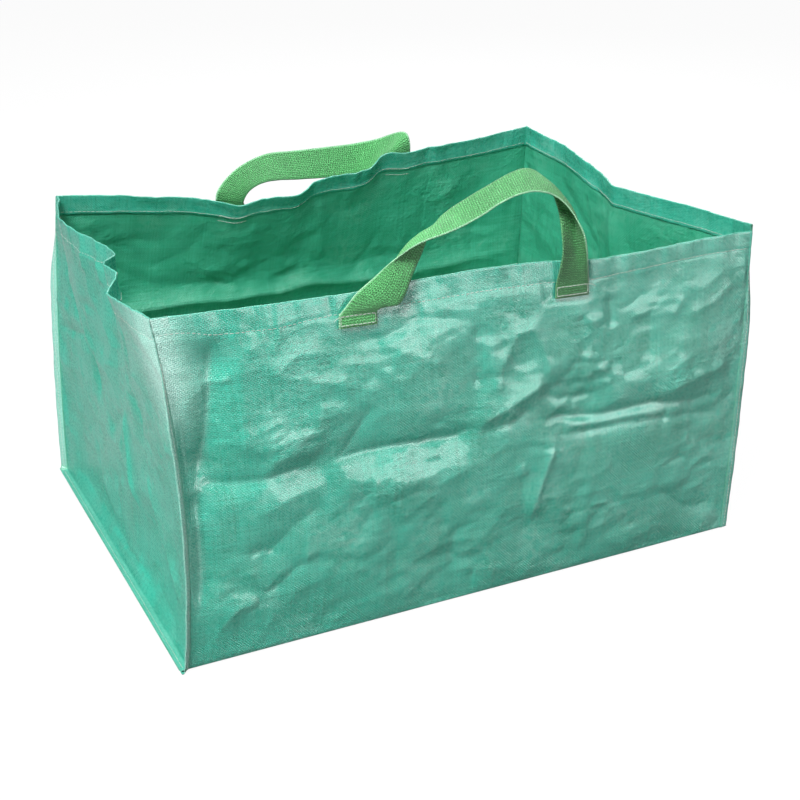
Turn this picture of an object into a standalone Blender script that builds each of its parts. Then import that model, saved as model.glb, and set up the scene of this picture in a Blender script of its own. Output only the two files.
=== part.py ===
# Rectangular garden waste bag: coated woven cloth walls with a sewn hem, outward corner seams,
# and two webbing handles sewn outside the long walls.
# The bag stands at rest with its mouth up. X runs along the long walls, the front wall faces -Y,
# and the origin is the centre of the base's underside. Lengths are in metres.

import math

import bmesh
import bpy
import numpy as np

# Driving dimensions
BAG_WIDTH = 0.668
BAG_DEPTH = 0.496
BAG_HEIGHT = 0.375
CLOTH_THICKNESS = 0.0005
CLEARANCE = 0.0003
FOLD_RADIUS = 0.003
HEM_DEPTH = 0.026
HEM_STITCH_DEPTH = 0.022
SEAM_WIDTH = 0.009
SEAM_THICKNESS = 0.001
SEAM_TOP_DROP = 0.045
SEAM_TAPER_LENGTH = 0.070
SEAM_TOP_WIDTH = 0.003
THREAD_RADIUS = 0.00025
WEBBING_WIDTH = 0.040
WEBBING_THICKNESS = 0.0018
HANDLE_SPACING = 0.243
FRONT_HANDLE_SHIFT = -0.013
BACK_HANDLE_SHIFT = 0.004
FRONT_LEG_LEAN = 0.027
SEWN_LENGTH = 0.013
STITCH_BOX_HEIGHT = 0.009
STITCH_INSET = 0.0015
HINGE_EASE = 0.0008
LEAN_EASE = 0.0001
RIM_EASE = 0.0008

# How far the slack cloth stands out from flat walls
FRONT_BELLY = 0.006
BACK_BELLY = 0.010
LEFT_SKIRT = 0.010
RIGHT_SKIRT = 0.004
SKIRT_HEIGHT = 0.018
EDGE_WINDOW = 0.15

# Corner posts: which corner, how far its top has moved, and how far its middle bows
CORNERS = {
    "front_left": {"side": (-1, -1), "top": (-0.010, 0.015, 0.005), "belly": (0.0105, 0.0)},
    "front_right": {"side": (1, -1), "top": (-0.004, -0.007, -0.003), "belly": (0.001, -0.002)},
    "back_right": {"side": (1, 1), "top": (0.012, 0.005, 0.008), "belly": (0.004, 0.004)},
    "back_left": {"side": (-1, 1), "top": (0.018, -0.013, -0.006), "belly": (0.008, 0.004)},
}

# Walls, anticlockwise from above: first and last corner post, way in, and number of columns
WALLS = {
    "front": {"posts": ("front_left", "front_right"), "inward": (0, 1, 0), "columns": 28},
    "right_end": {"posts": ("front_right", "back_right"), "inward": (-1, 0, 0), "columns": 26},
    "back": {"posts": ("back_right", "back_left"), "inward": (0, -1, 0), "columns": 28},
    "left_end": {"posts": ("back_left", "front_left"), "inward": (1, 0, 0), "columns": 34},
}

# How each rim leaves the straight line between its posts: share of the wall, inward, down
RIM_SHAPES = {
    "front": (
        (0, 0, 0), (0.12, 0, 0.004), (0.30, 0, 0.003), (0.48, 0, 0.001), (0.70, 0, 0.006),
        (0.85, 0, 0.003), (1, 0, 0),
    ),
    "right_end": (
        (0, 0, 0), (0.10, -0.012, 0), (0.18, -0.002, 0), (0.46, 0.028, 0.009),
        (0.56, 0.017, 0.006), (0.78, 0, 0.002), (1, 0, 0),
    ),
    "back": (
        (0, 0, 0), (0.13, 0.007, 0.005), (0.26, 0.013, 0.0085), (0.31, 0.0165, 0.0118),
        (0.36, 0.020, 0.015), (0.50, 0.034, 0.0285), (0.60, 0.040, 0.0335), (0.65, 0.040, 0.034),
        (0.70, 0.033, 0.027), (0.76, 0.022, 0.018), (0.84, 0.011, 0.009), (1, 0, 0),
    ),
    "left_end": (
        (0, 0, 0), (0.12, -0.010, 0), (0.26, -0.014, 0), (0.42, 0.004, 0.002),
        (0.53, 0.014, 0.004), (0.61, -0.004, 0.002), (0.68, 0.002, 0.003),
        (0.77, -0.016, 0.007), (0.90, -0.012, 0.002), (1, 0, 0),
    ),
}

# Handle loops between the two legs: share of the span, outward, up, and the webbing's width
# direction as (along, outward, up)
FRONT_LOOP = (
    (0.110, 0.000, 0.000, (1.0, 0.0, 0.0)),
    (0.150, 0.004, 0.008, (1.0, -0.3, -0.3)),
    (0.205, 0.008, 0.019, (0.7, -0.7, -0.4)),
    (0.290, 0.009, 0.039, (0.25, -0.95, -0.1)),
    (0.380, 0.008, 0.053, (0.0, -1.0, 0.15)),
    (0.500, 0.006, 0.068, (-0.1, -0.95, 0.25)),
    (0.670, 0.004, 0.084, (-0.1, -0.95, 0.28)),
    (0.790, 0.003, 0.088, (-0.1, -0.95, 0.28)),
    (0.880, 0.004, 0.078, (-0.3, -0.93, 0.1)),
    (0.935, 0.005, 0.054, (-0.7, -0.7, -0.1)),
    (0.985, 0.002, 0.018, (-1.0, -0.2, 0.0)),
    (1.000, 0.000, 0.000, (-1.0, 0.0, 0.0)),
)
BACK_LOOP = (
    (0.000, 0.000, 0.000, (1.0, 0.0, 0.0)),
    (0.010, 0.007, 0.003, (1.0, -0.1, -0.1)),
    (0.070, 0.022, 0.002, (0.8, -0.4, -0.4)),
    (0.190, 0.036, -0.005, (0.3, -0.75, -0.6)),
    (0.350, 0.042, -0.013, (0.05, -0.8, -0.6)),
    (0.550, 0.043, -0.019, (0.0, -0.8, -0.6)),
    (0.750, 0.041, -0.019, (0.0, -0.8, -0.6)),
    (0.900, 0.033, -0.010, (-0.3, -0.8, -0.5)),
    (0.980, 0.019, -0.001, (-0.9, -0.4, -0.3)),
    (1.000, 0.006, 0.003, (-1.0, -0.1, -0.1)),
    (1.000, 0.000, 0.000, (-1.0, 0.0, 0.0)),
)
HANDLES = {
    "front": {"shift": FRONT_HANDLE_SHIFT, "leans": (FRONT_LEG_LEAN, 0), "loop": FRONT_LOOP},
    "back": {"shift": BACK_HANDLE_SHIFT, "leans": (0, 0), "loop": BACK_LOOP},
}
LOOP_STEPS = 36
LEG_STEPS = 3
STUB_LENGTH = 0.004

# Layers at the rim, from outside to inside
WALL_MIDDLE = CLOTH_THICKNESS / 2
ROLL_RADIUS = (CLOTH_THICKNESS + CLEARANCE) / 2
HEM_MIDDLE = WALL_MIDDLE + 2 * ROLL_RADIUS
ROLL_CENTRE = BAG_HEIGHT - ROLL_RADIUS - CLOTH_THICKNESS / 2
WALL_TOP = ROLL_CENTRE - CLEARANCE
THREAD_REACH = 2 * THREAD_RADIUS + 2 * CLEARANCE
STITCH_HEIGHT = BAG_HEIGHT - HEM_STITCH_DEPTH
SEAM_ROOT = SEAM_THICKNESS + CLEARANCE / 2
HEM_ROWS = (BAG_HEIGHT - HEM_DEPTH / 2, STITCH_HEIGHT, BAG_HEIGHT - HEM_DEPTH)

# Plain finishes: linear colour, roughness
FINISHES = {
    "cloth": ((0.10, 0.38, 0.27), 0.5),
    "cloth_inside": ((0.05, 0.24, 0.15), 0.6),
    "seam": ((0.14, 0.45, 0.33), 0.5),
    "webbing": ((0.08, 0.30, 0.07), 0.8),
    "thread": ((0.50, 0.58, 0.50), 0.8),
}


def clear_scene():
    for obj in list(bpy.data.objects):
        bpy.data.objects.remove(obj, do_unlink=True)


def new_material(name, finish):
    colour, roughness = FINISHES[finish]
    material = bpy.data.materials.new(name)
    material.use_nodes = True
    shader = material.node_tree.nodes["Principled BSDF"]
    shader.inputs["Base Color"].default_value = (*colour, 1)
    shader.inputs["Roughness"].default_value = roughness
    shader.inputs["Metallic"].default_value = 0
    return material


def smooth(share):
    share = np.clip(share, 0, 1)
    return share * share * (3 - 2 * share)


def unit(vectors):
    return vectors / np.linalg.norm(vectors, axis=-1, keepdims=True)


# A cubic through the points, with each slope taken from the neighbours on both sides
def curve_through(knots, values, at):
    knots = np.asarray(knots, float)
    values = np.asarray(values, float)
    slopes = np.gradient(values, knots, axis=0)
    piece = np.clip(np.searchsorted(knots, at, side="right") - 1, 0, len(knots) - 2)
    step = knots[piece + 1] - knots[piece]
    t = (at - knots[piece]) / step
    shape = t.shape + (1,) * (values.ndim - 1)
    t, step = t.reshape(shape), step.reshape(shape)
    return (
        (1 + 2 * t) * (1 - t) ** 2 * values[piece]
        + t * (1 - t) ** 2 * step * slopes[piece]
        + t * t * (3 - 2 * t) * values[piece + 1]
        + t * t * (t - 1) * step * slopes[piece + 1]
    )


# The line of a corner post: foot + top * v^2 + belly * 4v(1 - v), where v is the share of the height
def post_line(name, height):
    post = CORNERS[name]
    v = height / BAG_HEIGHT
    bow = 4 * v * (1 - v)
    x = post["side"][0] * BAG_WIDTH / 2 + post["top"][0] * v**2 + post["belly"][0] * bow
    y = post["side"][1] * BAG_DEPTH / 2 + post["top"][1] * v**2 + post["belly"][1] * bow
    z = height + post["top"][2] * v**2
    return np.stack([x, y, z], axis=-1)


# How far the slack cloth moves inward at a share u of the wall and a share v of the height
def slack(wall, u, v, height):
    window = smooth(u / EDGE_WINDOW) * smooth((1 - u) / EDGE_WINDOW)
    bow = 4 * v * (1 - v)
    skirt = window * smooth(height / SKIRT_HEIGHT) * (1 - v**2)
    if wall == "front":
        return -FRONT_BELLY * window * bow
    if wall == "back":
        return -BACK_BELLY * window * bow
    if wall == "left_end":
        return LEFT_SKIRT * skirt
    return RIGHT_SKIRT * skirt


# A point of a wall's outer face, at a share u along it and a height above the floor
def wall_point(wall, u, height):
    u, height = np.broadcast_arrays(np.asarray(u, float), np.asarray(height, float))
    first, last = (post_line(post, height) for post in WALLS[wall]["posts"])
    point = first + (last - first) * u[..., None]
    shares, inward, down = zip(*RIM_SHAPES[wall])
    v = height / BAG_HEIGHT
    if wall == "right_end":
        reach = smooth((v - 0.2) / 0.8)
        rim_in = np.interp(u, shares, inward) * reach
        rim_down = np.interp(u, shares, down) * reach
    else:
        rim_in = curve_through(shares, inward, u) * v**2
        rim_down = curve_through(shares, down, u) * v**2
    move = slack(wall, u, v, height) + rim_in
    if wall in ("front", "back"):
        below = np.clip(FOLD_RADIUS - height, 0, FOLD_RADIUS)
        move = move + FOLD_RADIUS - np.sqrt(FOLD_RADIUS**2 - below**2)
    point = point + np.array(WALLS[wall]["inward"], float) * move[..., None]
    point[..., 2] -= rim_down
    return point


def wall_normal(wall, u, height):
    small_u, small_height = 1e-4, 2e-5
    along = wall_point(wall, u + small_u, height) - wall_point(wall, u - small_u, height)
    low = np.maximum(height - small_height, 0)
    up = wall_point(wall, u, height + small_height) - wall_point(wall, u, low)
    return unit(np.cross(along, up))


# A point this far outside a wall's outer face. A negative distance is inside the bag
def beside_wall(wall, u, height, outward):
    u, height, outward = np.broadcast_arrays(*(np.asarray(a, float) for a in (u, height, outward)))
    return wall_point(wall, u, height) + wall_normal(wall, u, height) * outward[..., None]


def wall_length(wall):
    first, last = (CORNERS[post]["side"] for post in WALLS[wall]["posts"])
    return BAG_WIDTH if first[0] != last[0] else BAG_DEPTH


# Shares along a wall, all walls and hems with the same inner ones, and both ends held back
def wall_shares(wall, end_gap):
    shares = np.linspace(0, 1, WALLS[wall]["columns"] + 1)
    shares[0] = end_gap / wall_length(wall)
    shares[-1] = 1 - shares[0]
    return shares


def link_to(collection, obj, material):
    obj.data.materials.append(material)
    collection.objects.link(obj)
    return obj


# An open surface from a grid of points (rows, columns, xyz), thickened with Solidify.
# offset -1 keeps the points on the outer face, 0 in the middle of the thickness
def sheet(collection, name, points, thickness, offset, finish, origin=(0, 0, 0)):
    rows, columns = points.shape[:2]
    index = np.arange(rows * columns).reshape(rows, columns)
    corners = (index[:-1, :-1], index[:-1, 1:], index[1:, 1:], index[1:, :-1])
    faces = np.stack([corner.ravel() for corner in corners], axis=-1)
    mesh = bpy.data.meshes.new(name)
    mesh.from_pydata((points - np.array(origin)).reshape(-1, 3).tolist(), [], faces.tolist())
    mesh.shade_smooth()
    obj = bpy.data.objects.new(name, mesh)
    obj.location = origin
    solidify = obj.modifiers.new("thickness", "SOLIDIFY")
    solidify.thickness = thickness
    solidify.offset = offset
    solidify.use_even_offset = True
    return link_to(collection, obj, new_material(name, finish))


def thread(collection, name, points, closed=False):
    curve = bpy.data.curves.new(name, "CURVE")
    curve.dimensions = "3D"
    curve.bevel_depth = THREAD_RADIUS
    curve.bevel_resolution = 0
    curve.use_fill_caps = True
    spline = curve.splines.new("POLY")
    spline.points.add(len(points) - 1)
    for knot, point in zip(spline.points, points):
        knot.co = (*point, 1)
    spline.use_cyclic_u = closed
    obj = bpy.data.objects.new(name, curve)
    return link_to(collection, obj, new_material(name, "thread"))


def add_base(collection):
    mesh = bpy.data.meshes.new("base_panel")
    shape = bmesh.new()
    bmesh.ops.create_cube(shape, size=1)
    depth = BAG_DEPTH - 2 * (FOLD_RADIUS + CLEARANCE)
    bmesh.ops.scale(shape, vec=(BAG_WIDTH, depth, CLOTH_THICKNESS), verts=shape.verts)
    bmesh.ops.translate(shape, vec=(0, 0, CLOTH_THICKNESS / 2), verts=shape.verts)
    shape.to_mesh(mesh)
    shape.free()
    obj = bpy.data.objects.new("base_panel", mesh)
    link_to(collection, obj, new_material("base_panel", "cloth_inside"))


# A long wall curls under the bag at its foot. An end wall stands on the base
def wall_heights(wall):
    if wall in ("front", "back"):
        foot = FOLD_RADIUS * (1 - np.cos(np.linspace(0, math.pi / 2, 4)))
    else:
        foot = np.linspace(CLOTH_THICKNESS + CLEARANCE, SKIRT_HEIGHT, 4)
    middle = np.linspace(foot[-1], HEM_ROWS[-1], 10)[1:]
    return np.concatenate([foot, middle, HEM_ROWS[-2::-1], [WALL_TOP]])


def add_wall(collection, wall):
    shares = wall_shares(wall, CLOTH_THICKNESS + CLEARANCE)
    heights = wall_heights(wall)
    points = wall_point(wall, shares[None, :], heights[:, None])
    sheet(collection, f"{wall}_panel", points, CLOTH_THICKNESS, -1, "cloth")


# The hem rolls over the rim and comes down inside, a clearance away from the wall
def add_hem(collection, wall):
    shares = wall_shares(wall, HEM_MIDDLE + CLOTH_THICKNESS / 2 + CLEARANCE)
    turn = np.linspace(0, math.pi, 5)
    heights = ROLL_CENTRE + ROLL_RADIUS * np.sin(turn)
    depths = WALL_MIDDLE + ROLL_RADIUS * (1 - np.cos(turn))
    heights = np.append(heights, HEM_ROWS)
    depths = np.append(depths, np.full(len(HEM_ROWS), HEM_MIDDLE))
    points = beside_wall(wall, shares[None, :], heights[:, None], -depths[:, None])
    sheet(collection, f"{wall}_hem", points, CLOTH_THICKNESS, 0, "cloth")


# The hem's stitching: the needle thread outside the wall and the bobbin thread inside the hem
def add_hem_threads(collection, wall):
    inside = HEM_MIDDLE + CLOTH_THICKNESS / 2
    shares = wall_shares(wall, inside + THREAD_REACH)
    away = THREAD_RADIUS + CLEARANCE
    outer = beside_wall(wall, shares, STITCH_HEIGHT, away)
    inner = beside_wall(wall, shares, STITCH_HEIGHT, -(inside + away))
    thread(collection, f"{wall}_hem_needle_thread", outer)
    thread(collection, f"{wall}_hem_bobbin_thread", inner)


# The seam allowance stands out from a corner post, halfway between the two walls
def add_corner_seam(collection, post):
    side = np.array([*CORNERS[post]["side"], 0]) / math.sqrt(2)
    top = BAG_HEIGHT - SEAM_TOP_DROP
    heights = np.linspace(SEAM_THICKNESS + CLEARANCE, top, 14)
    taper = smooth((heights - top + SEAM_TAPER_LENGTH) / SEAM_TAPER_LENGTH)
    widths = SEAM_WIDTH + (SEAM_TOP_WIDTH - SEAM_WIDTH) * taper
    root = post_line(post, heights) + side * SEAM_ROOT
    points = np.stack([root, root + side * widths[:, None]], axis=1)
    sheet(collection, f"{post}_seam", points, SEAM_THICKNESS, 0, "seam")
    face = np.cross(side, (0, 0, 1))
    face = face * -np.sign(face[1])
    stitches = points.mean(axis=1) + face * (SEAM_THICKNESS / 2 + CLEARANCE + THREAD_RADIUS)
    thread(collection, f"{post}_seam_thread", stitches)


# The seam allowance along the foot of an end wall lies flat on the ground
def add_foot_seam(collection, end, side):
    root = side * (BAG_WIDTH / 2 + CLEARANCE)
    across = np.array([root, root + side * SEAM_WIDTH])
    along = np.linspace(-1, 1, 7) * (BAG_DEPTH / 2)
    y, x = np.meshgrid(along, across, indexing="ij")
    points = np.stack([x, y, np.full_like(x, SEAM_THICKNESS / 2)], axis=-1)
    sheet(collection, f"{end}_foot_seam", points, SEAM_THICKNESS, 0, "seam")
    stitches = points.mean(axis=1)
    stitches[:, 2] = SEAM_THICKNESS + CLEARANCE + THREAD_RADIUS
    thread(collection, f"{end}_foot_seam_thread", stitches)


# Shares along a long wall of the places this far from the bag's middle plane
def shares_at(wall, x):
    from_first = BAG_WIDTH / 2 + x if wall == "front" else BAG_WIDTH / 2 - x
    return from_first / BAG_WIDTH


# The flat facets of a long wall at these shares, one row of points for each height
def facets_at(wall, shares, heights):
    columns = wall_shares(wall, CLOTH_THICKNESS + CLEARANCE)
    grid = wall_point(wall, columns[None, :], heights[:, None])
    place = np.interp(shares, columns, np.arange(len(columns)))
    first = np.floor(place).astype(int)
    part = (place - first)[:, None]
    return grid[:, first] * (1 - part) + grid[:, first + 1] * part


# The plane that a handle's sewn ends and legs lie in: both leg centres on the stitch line, the
# direction along the handle, the outward and upward directions, and the length of a leg. The
# plane touches the cloth behind the legs, or the hem's thread where that stands out further
def handle_plane(wall):
    centres = HANDLES[wall]["shift"] + HANDLE_SPACING * np.array([-0.5, 0.5])
    low = wall_point(wall, shares_at(wall, centres), STITCH_HEIGHT)
    high = wall_point(wall, shares_at(wall, centres), BAG_HEIGHT)
    along = unit(low[1] - low[0])
    outward = np.cross(along, (high - low).mean(axis=0))
    outward = unit(outward * np.sign(outward @ -np.array(WALLS[wall]["inward"])))
    upward = unit(np.cross(outward, along))
    upward = upward * np.sign(upward[2])
    across = WEBBING_WIDTH * np.linspace(-0.52, 0.52, 9)
    leans = np.array(HANDLES[wall]["leans"])
    behind = np.concatenate([(centres + shift)[:, None] + across for shift in (0, leans)])
    heights = np.array([STITCH_HEIGHT - SEWN_LENGTH, *HEM_ROWS, BAG_HEIGHT])
    cloth = facets_at(wall, shares_at(wall, behind.ravel()), heights) - low[0]
    leg = (cloth @ upward).max() + RIM_EASE
    stitches = cloth[1 + HEM_ROWS.index(STITCH_HEIGHT)]
    reach = max((cloth @ outward).max(), (stitches @ outward).max() + THREAD_REACH - CLEARANCE)
    low = low + outward * reach
    return low, along, outward, upward, leg


# Three points across the webbing at each centre. Where the webbing runs askew to the direction
# across it, that cut is wider by 1 / sine of the angle between them
def strap_points(centres, directions, tangents):
    sine = np.linalg.norm(np.cross(directions, tangents), axis=1)
    across = directions / np.maximum(sine, 0.6)[:, None]
    sides = np.linspace(-0.5, 0.5, 3) * WEBBING_WIDTH
    return centres[:, None, :] + across[:, None, :] * sides[None, :, None]


# The loop's middle line from the top of one leg to the top of the other, with the direction across
# the webbing and the way it runs. It leaves each leg along a short straight stub
def loop_line(wall):
    low, along, outward, upward, leg = handle_plane(wall)
    shares, out, up, turns = (np.array(column) for column in zip(*HANDLES[wall]["loop"]))
    feet = low + upward * (leg + CLEARANCE / 2) + outward * (CLEARANCE + WEBBING_THICKNESS / 2)
    tops = feet + along * np.array(HANDLES[wall]["leans"])[:, None]
    frames = feet[0] + (feet[1] - feet[0]) * shares[:, None]
    frames = frames + outward * out[:, None] + upward * (up[:, None] + STUB_LENGTH)
    frames = np.concatenate([tops[:1], frames, tops[1:]])
    turns = turns[:, :1] * along + turns[:, 1:2] * outward + turns[:, 2:] * upward
    turns = np.concatenate([turns[:1], turns, turns[-1:]])
    run = np.concatenate([[0], np.cumsum(np.linalg.norm(np.diff(frames, axis=0), axis=1))])
    steps = np.linspace(STUB_LENGTH, run[-1] - STUB_LENGTH, LOOP_STEPS + 1)
    steps = np.concatenate([[0], steps, run[-1:]])
    centres = curve_through(run, frames, steps)
    tangents = unit(np.gradient(centres, steps, axis=0))
    directions = unit(curve_through(run, turns, steps))
    print(f"{wall} handle: the webbing between its sewn ends is {run[-1] + 2 * leg:.3f} m long")
    return centres, directions, tangents


def add_handle(collection, wall):
    low, along, outward, upward, leg = handle_plane(wall)
    middle = CLEARANCE + WEBBING_THICKNESS / 2
    outer_face = CLEARANCE + WEBBING_THICKNESS
    swing_axis = low.mean(axis=0) + outward * (outer_face + HINGE_EASE)
    lean_axis = low.mean(axis=0) + upward * leg + outward * (CLEARANCE - LEAN_EASE)
    half_gap = CLEARANCE / 2
    leans = HANDLES[wall]["leans"]
    for side, foot, lean in zip(("left", "right"), low, leans):
        name = f"{wall}_handle_{side}"
        flat = foot + outward * middle
        rows = flat + upward * np.array([[-SEWN_LENGTH], [-half_gap]])
        points = strap_points(rows, np.stack([along, along]), np.stack([upward, upward]))
        sheet(collection, f"{name}_end", points, WEBBING_THICKNESS, 0, "webbing")
        climb = np.linspace(0, 1, LEG_STEPS + 1)[:, None]
        rows = flat + upward * (half_gap + climb * (leg - CLEARANCE)) + along * lean * climb
        tangents = np.repeat(unit(upward * leg + along * lean)[None], LEG_STEPS + 1, axis=0)
        tangents[0] = upward
        points = strap_points(rows, np.repeat(along[None], LEG_STEPS + 1, axis=0), tangents)
        sheet(collection, f"{name}_leg", points, WEBBING_THICKNESS, 0, "webbing", swing_axis)
        across = (WEBBING_WIDTH / 2 - STITCH_INSET) * np.array([-1, 1, 1, -1])
        down = STITCH_INSET + STITCH_BOX_HEIGHT * np.array([0, 0, 1, 1])
        raised = foot + outward * (outer_face + CLEARANCE + THREAD_RADIUS)
        box = raised + along * across[:, None] - upward * down[:, None]
        thread(collection, f"{name}_box_stitch", box, closed=True)
    centres, directions, tangents = loop_line(wall)
    points = strap_points(centres, directions, tangents)
    sheet(collection, f"{wall}_handle_loop", points, WEBBING_THICKNESS, 0, "webbing", lean_axis)


def build():
    clear_scene()
    bag = bpy.data.collections.new("garden_waste_bag")
    bpy.context.scene.collection.children.link(bag)
    add_base(bag)
    for wall in WALLS:
        add_wall(bag, wall)
        add_hem(bag, wall)
        add_hem_threads(bag, wall)
    for post in CORNERS:
        add_corner_seam(bag, post)
    add_foot_seam(bag, "left_end", -1)
    add_foot_seam(bag, "right_end", 1)
    for wall in HANDLES:
        add_handle(bag, wall)


build()
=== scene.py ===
# Garden waste bag: coated woven cloth that stands open, with a sewn hem, outward corner seams
# and two webbing handles. Every cloth piece is a grid worked out from the walls' own formulas.
import math

import bpy
import numpy as np
from mathutils import Matrix, Vector


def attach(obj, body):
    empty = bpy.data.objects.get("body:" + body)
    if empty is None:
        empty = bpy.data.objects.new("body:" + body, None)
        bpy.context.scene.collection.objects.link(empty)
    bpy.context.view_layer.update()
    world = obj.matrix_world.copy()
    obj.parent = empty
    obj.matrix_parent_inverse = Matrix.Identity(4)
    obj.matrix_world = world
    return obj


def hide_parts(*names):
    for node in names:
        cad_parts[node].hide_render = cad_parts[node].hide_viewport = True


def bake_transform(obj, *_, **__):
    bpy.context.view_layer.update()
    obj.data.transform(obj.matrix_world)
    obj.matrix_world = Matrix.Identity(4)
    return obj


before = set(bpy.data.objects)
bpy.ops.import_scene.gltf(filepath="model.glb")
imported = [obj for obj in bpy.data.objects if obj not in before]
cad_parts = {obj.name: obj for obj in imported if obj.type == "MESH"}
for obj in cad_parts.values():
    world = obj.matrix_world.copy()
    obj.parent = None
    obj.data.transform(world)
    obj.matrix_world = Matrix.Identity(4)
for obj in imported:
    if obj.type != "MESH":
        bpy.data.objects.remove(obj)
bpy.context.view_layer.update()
print("frame loaded:", len(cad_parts), "CAD nodes")


# Maths used by every piece

latticeCount = 64        # cells until the noise repeats


def smoothStep(t):       # 3t^2 - 2t^3, held between 0 and 1
    t = np.clip(t, 0, 1)
    return t * t * (3 - 2 * t)


def rise(value, start, reach):           # 0 up to the start, 1 from a reach past it
    return smoothStep((value - start) / reach)


def insideEnds(x, length, reach):        # 0 at both ends of a length, 1 from the reach inward
    return rise(x, 0, reach) * rise(length - x, 0, reach)


def unitRows(vectors):                   # each row over its own length
    return vectors / np.maximum(np.linalg.norm(vectors, axis=-1, keepdims=True), 1e-12)


def runAlong(path):      # the length of a path up to each of its points
    return np.concatenate([[0], np.cumsum(np.linalg.norm(np.diff(path, axis=0), axis=1))])


def curveThrough(knots, values, at):     # cubic through the knots, slopes from both neighbours
    knots, values = np.asarray(knots, float), np.asarray(values, float)
    slopes = np.gradient(values, knots, axis=0)
    piece = np.clip(np.searchsorted(knots, at, side="right") - 1, 0, len(knots) - 2)
    step = knots[piece + 1] - knots[piece]
    t = (at - knots[piece]) / step
    shape = t.shape + (1,) * (values.ndim - 1)
    t, step = t.reshape(shape), step.reshape(shape)
    return ((1 + 2 * t) * (1 - t) ** 2 * values[piece] + t * (1 - t) ** 2 * step * slopes[piece]
            + t * t * (3 - 2 * t) * values[piece + 1] + t * t * (t - 1) * step * slopes[piece + 1])


def latticePlace(x, z, cell):            # each point's place in cells, and the cell that it lies in
    px, pz = x / cell + 20.37, z / cell + 20.71
    return px, pz, np.floor(px).astype(int), np.floor(pz).astype(int)


def hillNoise(x, z, cell, seed):
    # gradient noise: each lattice corner has a slope, and a point blends its four corners' slopes
    count = latticeCount
    turns = np.random.default_rng(seed).uniform(0, 2 * math.pi, (count, count))
    px, pz, i, j = latticePlace(x, z, cell)
    fx, fz = px - i, pz - j
    sx, sz = fx**3 * (fx * (fx * 6 - 15) + 10), fz**3 * (fz * (fz * 6 - 15) + 10)

    def corner(a, b):
        turn = turns[(i + a) % count, (j + b) % count]
        return np.cos(turn) * (fx - a) + np.sin(turn) * (fz - b)

    low = corner(0, 0) * (1 - sx) + corner(1, 0) * sx
    high = corner(0, 1) * (1 - sx) + corner(1, 1) * sx
    return (low * (1 - sz) + high * sz) * 1.6        # about -1 to 1


def lineNoise(x, cell, seed, at=0):      # the same noise read along one straight line
    return hillNoise(x, 0 * x + at, cell, seed)


def facetNoise(x, z, cell, seed):
    # the highest of the tilted domes on a jittered grid, so that its facets meet in sharp valleys
    draw, count = np.random.default_rng(seed), latticeCount
    atX, atZ = draw.uniform(0.1, 0.9, (2, count, count))
    tiltX, tiltZ, level = draw.normal(0, 1, (3, count, count)) * np.array([0.5, 0.5, 0.12])[:, None, None]
    px, pz, i, j = latticePlace(x, z, cell)
    highest = np.full(np.shape(px), -np.inf)
    for a in (-1, 0, 1):
        for b in (-1, 0, 1):
            m, n = (i + a) % count, (j + b) % count
            dx, dz = px - i - a - atX[m, n], pz - j - b - atZ[m, n]
            dome = level[m, n] + tiltX[m, n] * dx + tiltZ[m, n] * dz - 0.9 * (dx**2 + dz**2)
            highest = np.maximum(highest, dome)
    return highest


# The bag's shape: the CAD's walls, with a few edges moved by up to 6 mm to where the photo has them

bag = {
    "width": 0.668, "depth": 0.496, "height": 0.375, "cloth": 0.0005,
    "foldRadius": 0.003, "hemDepth": 0.026, "stitchDepth": 0.022, "rollRadius": 0.0009,
    "hemGap": 0.0011,    # from the wall's outer face to the hem's inner face, where they are sewn
    "frontBelly": 0.006, "backBelly": 0.010, "leftSkirt": 0.010, "rightSkirt": 0.004,
    "skirtHeight": 0.018, "edgeWindow": 0.15, "rightRimFrom": 0.2,
}
stitchHeight = bag["height"] - bag["stitchDepth"]
rollCentre = bag["height"] - bag["rollRadius"]

posts = {                # side of the bag, how the top has moved, how the middle bows
    "frontLeft": {"side": (-1, -1), "top": (-0.010, 0.015, 0.005), "belly": (0.0105, 0.0)},
    "frontRight": {"side": (1, -1), "top": (-0.007, -0.007, 0.001), "belly": (0.001, -0.002)},
    "backRight": {"side": (1, 1), "top": (0.012, 0.005, 0.008), "belly": (0.004, 0.004)},
    "backLeft": {"side": (-1, 1), "top": (0.018, -0.013, -0.006), "belly": (0.002, 0.004)},
}
walls = {                # first and last post, anticlockwise from above, and the way in
    "front": {"posts": ("frontLeft", "frontRight"), "inward": (0, 1, 0), "length": bag["width"]},
    "rightEnd": {"posts": ("frontRight", "backRight"), "inward": (-1, 0, 0), "length": bag["depth"]},
    "back": {"posts": ("backRight", "backLeft"), "inward": (0, -1, 0), "length": bag["width"]},
    "leftEnd": {"posts": ("backLeft", "frontLeft"), "inward": (1, 0, 0), "length": bag["depth"]},
}
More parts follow.
